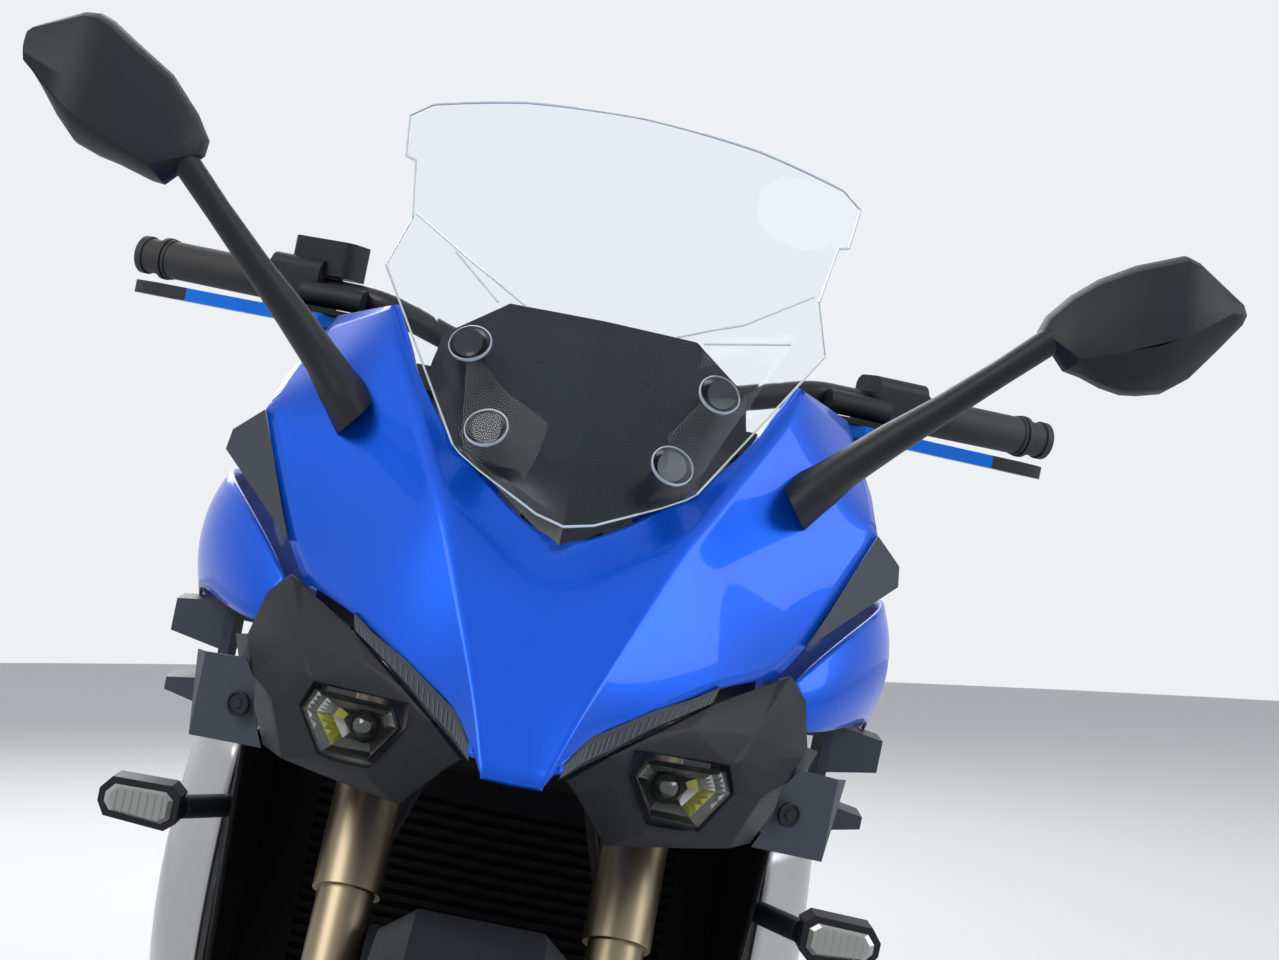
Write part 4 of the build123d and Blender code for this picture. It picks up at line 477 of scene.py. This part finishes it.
NOSE_ROWS = [  # inner edge, ridge, outer edge and the bulge of the side face
    ((0, -50, 726), (21, -50, 726.5), (30, -36, 741), 0),
    ((0, -9, 774), (37, -19, 774), (47, -3, 761), 0),
    ((0, 38, 829), (60, 27, 830), (90, 31, 785), 2),
    ((0, 84, 882), (84, 77, 892), (133, 70, 808.5), 5),
    ((40, 96, 902), (97, 101, 916), (178, 126, 819), 8),
    ((96, 134, 944), (113, 134, 944), (199, 155, 843), 9),
    ((128, 178, 985), (138, 184, 992), (222, 187, 893), 8),
    ((146, 203, 1010), (150, 209, 1015), (243, 216, 938), 6),
    ((154, 219, 1024), (157, 222, 1027), (237, 256, 968), 4),
    ((163, 236, 1039), (163.5, 236, 1039), (211, 301, 1025), 0)]
NOSE_CORNERS = ((0, 2), (0, 5), (1, 5), (4, 5), (7, 5), (8, 5), (9, 5), (9, 0))   # row, column
rows = [[inner, towards(inner, ridge, 0.5, -1.5), ridge, towards(ridge, outer, 0.35, bulge),
         towards(ridge, outer, 0.7, bulge), outer] for inner, ridge, outer, bulge in NOSE_ROWS]
nose = place_piece("nose_cowl", shell(rows, hard=(2,), corners=NOSE_CORNERS),
                   "machine", blue_paint, nodes=["upper_cowl"], smooth=180)
curved(nose, 4)

# Windscreen: injection moulded clear sheet with polished edges, folded wings and a raised wedge on each side.
# Its sharp edges and the wedges' edges are drawn as thin light rods, a painted highlight. Four dished wells
# take its screws; behind it is the dark panel that carries it.
dark_gloss = finish("dark_gloss", (0.010, 0.012, 0.018), 0.24, coat=0.15, depth=0.02,
                    Specular_IOR_Level=0.2)
clear = finish("clear_sheet", (0.93, 0.96, 0.99), 0.02, depth=0.0, tint=0.0,
               Transmission_Weight=1.0, IOR=1.12, Specular_IOR_Level=1.0)
# Light grey-blue opaque colour for the rods along the sheet's edges: painted highlight.
painted_edge_highlight = finish("painted_edge_highlight", (0.50, 0.56, 0.62), 0.15, depth=0.0, coat=1.0)
screw_silver = finish("screw_silver", (0.62, 0.62, 0.63), 0.2, metallic=1.0)
softened("windscreen", "machine", clear, 1)


def rods(bm, lines, radius, material=0, sides=6):
    """Thin closed rod along each line of points."""
    for line in lines:
        points = [Vector(point) for point in line]
        rings = []
        for i, point in enumerate(points):
            ahead = (points[min(i + 1, len(points) - 1)] - points[max(i - 1, 0)]).normalized()
            out = ahead.orthogonal() if i == 0 else out - ahead * out.dot(ahead)
            out.normalize()
            level = ahead.cross(out)
            rings.append([point + radius * (out * cos(a) + level * sin(a))
                          for a in (2 * pi * k / sides for k in range(sides))])
        closed_loft(bm, rings, material)


bm = bmesh.new()
bm.from_mesh(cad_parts["windscreen"].data)
bmesh.ops.remove_doubles(bm, verts=bm.verts, dist=WELD)
back = MILLIMETRES.inverted()
SHARP_EDGE = 55                  # degrees from which the sheet's edge catches the light
EDGE_HIGHLIGHT_RADIUS = 0.9
RAMP_HIGHLIGHT_RADIUS = 0.8
edges = [[back @ vert.co for vert in edge.verts] for edge in bm.edges
         if len(edge.link_faces) == 2 and edge.calc_face_angle(0) > radians(SHARP_EDGE)]
bm.free()
bm = bmesh.new()
rods(bm, [line for line in edges if (line[0] - line[1]).length > 0.6], EDGE_HIGHLIGHT_RADIUS)
# Along these lines the wedges' edges get rods in the painted highlight colour.
RAMP_HIGHLIGHT_LINES = (  # upper and lower edge of the raised wedge on each wing
    ((-162, 246, 1113.5), (-110, 188, 1081.5), (-60.5, 149.5, 1053.5)),
    ((-122.5, 200, 1086.5), (-81.5, 153.7, 1052.5)),
    ((159, 243, 1113), (106, 182.7, 1075.8), (56, 149.3, 1053.9)),
    ((144.5, 199, 1069), (77, 151.8, 1053)))
rods(bm, RAMP_HIGHLIGHT_LINES, RAMP_HIGHLIGHT_RADIUS)
bmesh.ops.recalc_face_normals(bm, faces=bm.faces)
place_piece("screen_edge_highlights", bm, "machine", painted_edge_highlight, smooth=50)
softened("cowl_stay", "machine", dark_gloss, 1)
softened("dash", "machine", dark_gloss, 2)


def lathe(bm, centre, axis, profile, segments=32, material=0):
    """Turned form about an axis, its profile in (radius, distance along the axis)."""
    axis = Vector(axis).normalized()
    across = axis.orthogonal().normalized()
    other = axis.cross(across)
    rings = []
    for radius, along in profile:
        middle = Vector(centre) + axis * along
        if radius < 0.01:
            rings.append([bm.verts.new(middle)])
        else:
            rings.append([bm.verts.new(middle + radius * (across * cos(a) + other * sin(a)))
                          for a in (2 * pi * k / segments for k in range(segments))])
    for low, high in zip(rings, rings[1:]):
        for k in range(segments):
            a, b = low[k % len(low)], low[(k + 1) % len(low)]
            c, d = high[(k + 1) % len(high)], high[k % len(high)]
            ring = [v for i, v in enumerate((a, b, c, d)) if v not in (a, b, c, d)[:i]]
            if len(ring) > 2:
                bm.faces.new(ring).material_index = material


well_black = finish("well_black", (0.012, 0.014, 0.018), 0.25, coat=0.3, depth=0.0)
SCREEN_SCREWS = ((95, 149, 1017), (69, 100, 957))
SCREEN_NORMAL = (0.24, -0.80, 0.55)
WELL_RIM = ((16.4, -1.5), (16.6, 0.4), (16.2, 1.3), (15.7, 1.2))
WELL_DISH = ((15.4, 0.4), (12.5, -1.4), (9, -2.4))
SCREW_HEAD = ((9, -2.8), (9, -0.6), (8, 0.4), (4.4, 1.4), (3.6, 1.2), (3.2, -1.0), (0, -1.2))
bm = bmesh.new()
for side in (-1, 1):
    for x, y, z in SCREEN_SCREWS:
        axis = mirrored(SCREEN_NORMAL, side).normalized()
        seat = Vector((side * x, y, z)) + axis
        lathe(bm, seat, axis, WELL_RIM)
        lathe(bm, seat, axis, WELL_DISH, material=2)
        lathe(bm, seat, axis, SCREW_HEAD, material=1)
# The wells' rims take the painted highlight colour, a ring of light like the sheet's edges.
place_piece("screen_wells", bm, "machine", [painted_edge_highlight, screw_silver, well_black])

# Lower nose: textured black surrounds for the two lamps, moulded in sharp planes, and a slim
# ribbed light strip clipped in on each side between them and the painted nose.
LAMP_COWL = {  # corners of the surround's planes, on the rider's left
    "top_in": (180, 126, 818), "top": (190, 133, 823), "back": (206, 148, 806),
    "back_low": (214, 144, 772), "edge_high": (211, 131, 767), "edge_mid": (202, 121, 747),
    "edge_low": (182, 98, 734), "corner": (166, 95, 692), "foot": (136, 76, 689), "tip": (74, 46, 683),
    "chin": (46, 12, 719), "nose_low": (37, 6, 728), "strip_low": (64, 8, 750),
    "strip_mid": (90, 29, 768), "strip_high": (131, 70, 795), "crest": (168, 88, 778),
    "crest_low": (161, 74, 760), "dish": (188, 108, 762), "brow_out": (152, 66, 755),
    "brow_in": (80, 20, 757), "lens_out": (160, 73, 735), "lens_low": (139, 62, 703),
    "lens_base": (100, 37, 705), "lens_in": (80, 24, 740), "chin_top": (66, 17, 733),
    "chin_out": (98, 40, 697), "mid": (120, 50, 777), "side_high": (226, 172, 768),
    "side_mid": (216, 150, 748), "side_low": (204, 148, 732), "side_foot": (186, 146, 692)}
LAMP_COWL_PLANES = (
    ("top", "crest", "back_low", "back"), ("crest", "dish", "edge_high", "back_low"),
    ("edge_high", "dish", "edge_mid"), ("dish", "crest", "crest_low"),
    ("top_in", "strip_high", "crest"), ("edge_mid", "dish", "crest_low"),
    ("edge_mid", "crest_low", "edge_low"), ("edge_low", "crest_low", "lens_out"),
    ("top", "top_in", "crest"), ("crest", "strip_high", "mid"), ("crest", "mid", "brow_out"),
    ("crest", "brow_out", "crest_low"), ("crest_low", "brow_out", "lens_out"),
    ("mid", "strip_high", "strip_mid"), ("mid", "strip_mid", "brow_in", "brow_out"),
    ("strip_mid", "strip_low", "brow_in"), ("brow_in", "strip_low", "lens_in"),
    ("strip_low", "nose_low", "chin_top", "lens_in"), ("nose_low", "chin", "chin_top"),
    ("edge_low", "lens_out", "corner"), ("lens_out", "lens_low", "corner"),
    ("lens_low", "foot", "corner"), ("lens_low", "lens_base", "chin_out", "foot"),
    ("lens_base", "lens_in", "chin_top", "chin_out"), ("chin_top", "chin", "tip", "chin_out"),
    ("chin_out", "tip", "foot"), ("back_low", "side_high", "side_mid", "edge_high"),
    ("edge_high", "side_mid", "edge_mid"), ("edge_mid", "side_mid", "side_low", "edge_low"),
    ("edge_low", "side_low", "side_foot", "corner"))
COWL_FORWARD = 1.5               # the moulded skin stands this far before the CAD one
COWL_WALL = 0.012
bm = bmesh.new()
for side in (-1, 1):
    spots = {name: bm.verts.new((side * x, y - COWL_FORWARD, z)) for name, (x, y, z) in LAMP_COWL.items()}
    for plane in LAMP_COWL_PLANES:
        bm.faces.new([spots[name] for name in plane])
bm.normal_update()
bmesh.ops.recalc_face_normals(bm, faces=bm.faces)
if sum(face.normal.y * face.calc_area() for face in bm.faces) > 0:
    bmesh.ops.reverse_faces(bm, faces=bm.faces)
cowls = place_piece("lamp_surrounds", bm, "machine", matte_black,
                    nodes=["lamp_cowls"], smooth=12)
wall = cowls.modifiers.new("wall", "SOLIDIFY")
wall.thickness = COWL_WALL
wall.offset = -1
round_edges(cowls, 0.0022, 8)
strip_lens = finish("strip_lens", (0.030, 0.035, 0.045), 0.16, coat=0.4, depth=0.02,
                    Specular_IOR_Level=0.3)
strip_rib = finish("strip_rib", (0.075, 0.088, 0.108), 0.20, coat=0.3, depth=0.02, Specular_IOR_Level=0.3)
STRIP_EDGES = (  # upper and lower edge, from the outer end to the nose's tip
    ((134, 71, 808), (130, 69, 794)), ((118, 56, 798), (113, 52, 785)), ((90, 31, 786), (88, 28, 770)),
    ((66, 11, 772), (63, 7, 752)), ((47, -5, 761), (45, -8, 741)), ((33, -25, 743), (31, -27, 731)))
STRIP_LIFT = Vector((0.12, -0.9, -0.3)).normalized()
STRIP_RIBS = 25
bm = bmesh.new()
for side in (-1, 1):
    rings = []
    for high, low in STRIP_EDGES:
        high, low = Vector(high), Vector(low)
        rings.append([mirrored(point, side) for point in (
            high + 5 * Vector((0, 1, 0)), high - STRIP_LIFT * 0.5,
            high + STRIP_LIFT * 1.6 + (low - high) * 0.12, high + STRIP_LIFT * 1.6 + (low - high) * 0.80,
            low - STRIP_LIFT * 0.5, low + 9 * Vector((0, 1, 0)))])
    closed_loft(bm, rings)
    for k in range(1, STRIP_RIBS + 1):
        part = k / (STRIP_RIBS + 1) * (len(STRIP_EDGES) - 1)
        i = min(int(part), len(STRIP_EDGES) - 2)
        high = Vector(STRIP_EDGES[i][0]).lerp(Vector(STRIP_EDGES[i + 1][0]), part - i)
        low = Vector(STRIP_EDGES[i][1]).lerp(Vector(STRIP_EDGES[i + 1][1]), part - i)
        above, below = [high.lerp(low, f) + STRIP_LIFT * 2.0 for f in (0.2, 0.76)]
        rib = [bm.verts.new((side * (e.x + dx), e.y + dx * 0.9, e.z))
               for e, dx in ((above, -0.5), (above, 0.5), (below, 0.5), (below, -0.5))]
        bm.faces.new(rib).material_index = 1
bmesh.ops.recalc_face_normals(bm, faces=bm.faces)
place_piece("light_strips", bm, "machine", [strip_lens, strip_rib],
            nodes=["position_lamps"], smooth=25)

# Headlamps: a faceted mirror bowl behind each surround's opening, with a black projector barrel in the middle
# and a clear cover glued into the rim. The bowl's walls are set chrome, grey, black or yellow wall by wall, a
# painted reflection pattern with a yellow streak.
chrome = finish("lamp_chrome", (0.40, 0.41, 0.40), 0.18, metallic=0.6, depth=0.0)
# The grey and the yellow are painted reflections on the bowl's walls.
painted_grey_reflection = finish("painted_grey_reflection", (0.12, 0.125, 0.12), 0.25, metallic=0.4, depth=0.0)
lamp_black = finish("lamp_black", (0.008, 0.008, 0.009), 0.5, Specular_IOR_Level=0.2)
painted_yellow_reflection = finish("painted_yellow_reflection", (0.34, 0.34, 0.05), 0.2, metallic=0.4, depth=0.0)
cover_clear = finish("lamp_cover", (0.96, 0.97, 0.98), 0.03, depth=0.0, tint=0.0,
                     Transmission_Weight=1.0, IOR=1.15)
projector = finish("projector_glass", (0.02, 0.02, 0.018), 0.06, coat=1.0, depth=0.0)
LAMP_HEXAGON = ((84, 22, 739), (91, 25, 752), (149, 60, 750),
                (156, 65, 735), (137, 49, 709), (101, 30, 712))
LAMP_CENTRE = Vector((119.7, 41.8, 732.8))
LAMP_AXIS = Vector((0.30, -0.95, 0.06)).normalized()
BOWL_LEVELS = (  # scale of the hexagon, depth, and how far it is flattened
    (1.03, 1.0, 0), (1.01, -1.8, 0), (0.975, -1.0, 0), (0.96, 5, 0.1),
    (0.78, 15, 0.6), (0.50, 24, 1.0), (0.3, 27, 1.0))
# Past the black frame rows, the mix of chrome, grey, black and yellow walls paints the bowl's reflections.
BOWL_WALLS_AND_REFLECTIONS = (  # material of the six walls between two levels
    (1, 1, 1, 1, 1, 1), (1, 1, 1, 1, 1, 1), (5, 5, 0, 0, 5, 5),
    (5, 1, 0, 0, 1, 5), (0, 5, 0, 2, 5, 1), (5, 1, 2, 0, 1, 5))
FACETED = (3, 4)                 # levels with facets pressed into the mirror
LAMP_RIB = 1.6                   # height of a facet
BARREL_DEPTH = 27.4
BARREL = ((11.5, 0), (11.5, 9), (10.6, 10.4), (9.4, 9.6))
PROJECTOR_LENS = ((9.6, 7), (9.0, 11), (6.8, 14.4), (3.5, 16.2), (0, 16.8))


def hexagon(side, scale, depth, flat):
    """The lamp's corners, shrunk and set back; flat pulls them into a plane square to the lamp."""
    corners = []
    for corner in LAMP_HEXAGON:
        point = LAMP_CENTRE + scale * (Vector(corner) - LAMP_CENTRE)
        point -= (flat * (point - LAMP_CENTRE).dot(LAMP_AXIS) + depth) * LAMP_AXIS
        corners.append(mirrored(point, side))
    return corners


lamps = bmesh.new()
for side in (-1, 1):
    axis = mirrored(LAMP_AXIS, side)
    levels = [[lamps.verts.new(point) for point in hexagon(side, *level)] for level in BOWL_LEVELS]
    for level, (low, high, walls_and_reflections) in enumerate(zip(levels, levels[1:], BOWL_WALLS_AND_REFLECTIONS)):
        for k in range(6):
            q = (k + 1) % 6
            if level in FACETED:
                outer = [low[k].co.lerp(low[q].co, t / 4) for t in range(5)]
                inner = [high[k].co.lerp(high[q].co, t / 4) for t in range(5)]
                for t in range(4):
                    ring = [outer[t], outer[t + 1], inner[t + 1], inner[t]]
                    spots = [lamps.verts.new(point) for point in ring]
                    tip = lamps.verts.new(sum(ring, Vector()) / 4 + LAMP_RIB * axis)
                    for i in range(4):
                        lamps.faces.new((spots[i], spots[(i + 1) % 4], tip)).material_index = walls_and_reflections[k]
            else:
                lamps.faces.new((low[k], low[q], high[q], high[k])).material_index = walls_and_reflections[k]
    lamps.faces.new(levels[-1]).material_index = 1
    middle = mirrored(LAMP_CENTRE, side) - BARREL_DEPTH * axis + Vector((-side * 6, 0, 0))
    lathe(lamps, middle, axis, BARREL, material=1)
    lathe(lamps, middle, axis, PROJECTOR_LENS, material=3)
    cover = [lamps.verts.new(point) for point in hexagon(side, 0.975, 0.2, 0)]
    crown = lamps.verts.new(mirrored(LAMP_CENTRE, side) + 3 * axis)
    for k in range(6):
        lamps.faces.new((cover[k], cover[(k + 1) % 6], crown)).material_index = 4
bmesh.ops.recalc_face_normals(lamps, faces=lamps.faces)
place_piece("headlamp_units", lamps, "machine",
            [chrome, lamp_black, painted_yellow_reflection, projector, cover_clear, painted_grey_reflection],
            nodes=["headlamps"], smooth=25)

# Side cowls: curved blue panels beside the nose, satin silver ones below them and black ducts
# inside. All are moulded, with rolled edges, and screwed to the frame.
silver_satin = finish("silver_satin", (0.40, 0.40, 0.41), 0.38, metallic=0.7, coat=0.3, grain=2200)
SIDE_ROWS = [
    ((194, 142, 816), (200, 142, 806), (201, 142, 792), (196, 142, 782)),
    ((206, 158, 832), (219, 156, 816), (222, 156, 796), (217, 156, 781)),
    ((240, 205, 864), (254, 203, 842), (256, 203, 812), (249, 204, 788)),
    ((268, 262, 884), (280, 260, 858), (282, 260, 820), (272, 262, 794)),
    ((274, 340, 888), (288, 340, 855), (290, 340, 812), (282, 340, 776)),
    ((268, 420, 884), (284, 420, 850), (288, 420, 800), (280, 420, 762)),
    ((256, 510, 868), (270, 510, 834), (272, 510, 785), (266, 510, 750)),
    ((238, 600, 846), (252, 600, 816), (254, 600, 774), (248, 600, 740)),
    ((214, 700, 796), (220, 700, 784), (221, 700, 768), (216, 700, 756))]
corners = [(row, column) for row in (0, 8) for column in (0, 3)]
cowls = place_piece("side_panels", shell(SIDE_ROWS, corners=corners, front=False),
                    "machine", blue_paint, nodes=["side_cowls"], smooth=180)
curved(cowls, 3.5)
LOWER_ROWS = [
    ((213, 240, 676), (216, 240, 620), (216, 240, 540), (213, 240, 470)),
    ((236, 262, 684), (244, 262, 620), (244, 262, 520), (228, 262, 436)),
    ((252, 300, 694), (263, 300, 620), (264, 300, 500), (236, 300, 400)),
    ((260, 370, 700), (270, 370, 600), (268, 370, 470), (240, 370, 350)),
    ((264, 450, 706), (273, 450, 600), (270, 450, 450), (242, 450, 330)),
    ((254, 550, 706), (262, 550, 610), (260, 550, 470), (238, 550, 364)),
    ((240, 640, 706), (246, 640, 620), (244, 640, 510), (230, 640, 420))]
corners = [(row, column) for row in (0, 6) for column in (0, 3)]
lower = place_piece("lower_panels", shell(LOWER_ROWS, corners=corners, front=False),
                    "machine", silver_satin, nodes=["lower_cowls"], smooth=180)
curved(lower, 3.5)
# The inner ducts take the same black, darkened past the plastic's own colour as painted shade.
softened("inner_cowls", "machine", core_black_and_shade, 2)

# Side vanes: textured dark plastic beside the lamps, each held by one flush fastener, with the
# black knobs behind them and the trims that edge the nose.
vane_grey = finish("vane_grey", (0.034, 0.042, 0.058), 0.46, grain=1900, depth=0.2, Specular_IOR_Level=0.3)
softened("side_fins", "machine", vane_grey, 2.5)
VANE_FASTENER = (207, 112, 723)
VANE_NORMAL = (0.45, -0.89, 0)
VANE_HEAD = (
    (9.5, -2), (9.5, 0.6), (8.6, 1.5), (7.6, 1.5), (7.0, 0.2), (4.0, 0.2), (3.6, 1.1), (0, 1.1))
bm = bmesh.new()
for side in (-1, 1):
    lathe(bm, mirrored(VANE_FASTENER, side), mirrored(VANE_NORMAL, side), VANE_HEAD, segments=36)
place_piece("vane_fasteners", bm, "machine", matte_black)

# Turn signals: black octagonal housings on stepped rubber stems, with clear ribbed lenses and a
# silvered reflector behind them.
softened("turn_signals", "machine", matte_black, 1.5)
lens_clear = finish("signal_lens", (0.30, 0.30, 0.29), 0.14, coat=1.0, depth=0.0, metallic=0.35)
SIGNALS = (  # inner and outer end, the lens's plane, height, and the way that it faces along the machine
    (236, 296, 130, 634, -1), (70, 130, 1723, 648, 1))
SIGNAL_BARS = 7
bm = bmesh.new()
for side in (-1, 1):
    for x0, x1, plane, z, facing in SIGNALS:
        outline = ((x0 + 5, -7), (x0 + 11, -12), (x1 - 10, -9), (x1 - 5, -3),
                   (x1 - 5, 4), (x1 - 11, 11), (x0 + 11, 12), (x0 + 5, 7))
        middle = (x0 + x1) / 2
        outer = [bm.verts.new((side * x, plane, z + v)) for x, v in outline]
        inner = [bm.verts.new((side * (middle + 0.86 * (x - middle)), plane + facing * 2.5, z + 0.84 * v))
                 for x, v in outline]
        for k in range(8):
            q = (k + 1) % 8
            bm.faces.new((outer[k], outer[q], inner[q], inner[k]))
        bm.faces.new(inner)
        for i in range(SIGNAL_BARS):
            x = x0 + 13 + i * (x1 - x0 - 26) / (SIGNAL_BARS - 1)
            bar = bmesh.ops.create_cube(bm, size=1)["verts"]
            bmesh.ops.scale(bm, vec=(1.0, 1.4, 17), verts=bar)
            bmesh.ops.translate(bm, vec=(side * x, plane + facing * 2.8, z), verts=bar)
bmesh.ops.recalc_face_normals(bm, faces=bm.faces)
place_piece("signal_lenses", bm, "machine", lens_clear, smooth=20)

# Mirrors: angular black shells on tapered stalks. Each stalk sits in a rubber shoe on the nose
# and has a parting line where its two halves meet.
MIRROR_Y = 150
MIRROR_RINGS = {  # the rims seen from the front; each mirror is set to its own angle
    -1: (
        (317, 1114), (342, 1087), (352, 1088), (378, 1095), (394, 1098), (412, 1104), (427, 1119),
        (450, 1149), (464, 1171), (463, 1179), (459, 1183), (423, 1202), (413, 1203), (402, 1199),
        (381, 1186), (352, 1169), (328, 1144), (316, 1126)),
    1: (
        (321, 1113), (346, 1088), (359, 1086), (376, 1081), (392, 1079), (405, 1081), (422, 1086),
        (439, 1100), (457, 1126), (472, 1149), (474, 1157), (470, 1165), (430, 1190), (420, 1193),
        (385, 1178), (359, 1162), (340, 1145), (325, 1126))}
MIRROR_RIDGE = ((352, 116, 1097), (406, 104, 1118), (428, 109, 1131), (458, 124, 1154))
MIRROR_LEVELS = (  # share of the way to the ridge, across and in depth
    (0, 0), (0.035, 0.30), (0.09, 0.47), (0.40, 0.74), (0.74, 0.93), (1.0, 1.0))
MIRROR_POCKET = ((1.0, 0), (0.955, 0), (0.95, -6))   # scale, distance from the mirror's plane
PANE_SCALE = 0.93
PANE_PLANES = (-5.5, -1.5)


def ridge_point(x):
    """Point of the shell's front ridge nearest across the machine."""
    x = min(max(x, MIRROR_RIDGE[0][0]), MIRROR_RIDGE[-1][0])
    for a, b in zip(MIRROR_RIDGE, MIRROR_RIDGE[1:]):
        if x <= b[0]:
            return Vector(a).lerp(Vector(b), (x - a[0]) / (b[0] - a[0]))


def rim_at(side, rim, scale, y):
    """The rim shrunk about its middle, in the plane at a distance from the mirror's plane."""
    across = sum(x for x, z in rim) / len(rim)
    height = sum(z for x, z in rim) / len(rim)
    return [(side * (across + scale * (x - across)), MIRROR_Y + y, height + scale * (z - height))
            for x, z in rim]


bm = bmesh.new()
glass = bmesh.new()
for side, rim in MIRROR_RINGS.items():
    rings = []
    for part, rise in MIRROR_LEVELS:
        ring = []
        for x, z in rim:
            front = ridge_point(x)
            ring.append((side * (x + part * (front.x - x)), MIRROR_Y + rise * (front.y - MIRROR_Y),
                         z + part * (front.z - z)))
        rings.append(ring)
    closed_loft(bm, rings, cap=False)
    closed_loft(bm, [rim_at(side, rim, scale, y) for scale, y in MIRROR_POCKET], cap=False)
    bm.faces.new([bm.verts.new(point) for point in rim_at(side, rim, *MIRROR_POCKET[-1])])
    closed_loft(glass, [rim_at(side, rim, PANE_SCALE, y) for y in PANE_PLANES])
bmesh.ops.remove_doubles(bm, verts=bm.verts, dist=0.3)
bmesh.ops.dissolve_degenerate(bm, edges=bm.edges, dist=0.3)
bmesh.ops.recalc_face_normals(bm, faces=bm.faces)
shells = place_piece("mirror_shells", bm, "machine", matte_black, smooth=40)
round_edges(shells, 0.004, 30, 3)
bmesh.ops.recalc_face_normals(glass, faces=glass.faces)
mirror_silver = finish("mirror_silver", (0.9, 0.9, 0.9), 0.02, metallic=1.0, depth=0.0)
place_piece("mirror_panes", glass, "machine", mirror_silver, nodes=["mirror_glass"], smooth=30)
bm = bmesh.new()
STALK = (  # middle, x and z of the way that it runs, then half depth and half height
    ((172, 186, 946), 0.80, 0.60, 40, 19), ((182, 184, 960), 0.78, 0.62, 38, 18.5),
    ((190, 181, 968), 0.76, 0.64, 34, 17), ((203, 178, 983), 0.70, 0.70, 22, 14.5),
    ((232, 169, 1012), 0.70, 0.70, 19, 13), ((262, 160, 1040), 0.70, 0.70, 16, 11),
    ((300, 149, 1077), 0.72, 0.70, 13.5, 10), ((330, 141, 1107), 0.75, 0.66, 13, 10.5),
    ((352, 137, 1122), 0.8, 0.6, 15, 14))
for side in (-1, 1):
    rings = []
    for point, along_x, along_z, deep, tall in STALK:
        along = Vector((side * along_x, -0.1, along_z)).normalized()
        rear = (Vector((0, 1, 0)) - along * along.y).normalized()
        lift = along.cross(rear) * side
        rings.append([mirrored(point, side) + rear * deep * cos(a) * (1 if abs(cos(a)) < 0.99 else 0.98)
                      + lift * tall * sin(a) for a in (2 * pi * k / 16 for k in range(16))])
    closed_loft(bm, rings)
bmesh.ops.recalc_face_normals(bm, faces=bm.faces)
place_piece("mirror_stalks", bm, "machine", matte_black, nodes=["mirrors"], smooth=50)

# Foot controls: cast alloy brackets with pegs and pedals, bolted to the frame. The side stand is
# a coated steel leg on a pin under the left one.
softened("foot_controls", "machine", satin_alloy, 1)
softened("side_stand", "side_stand", black_coat, 1)
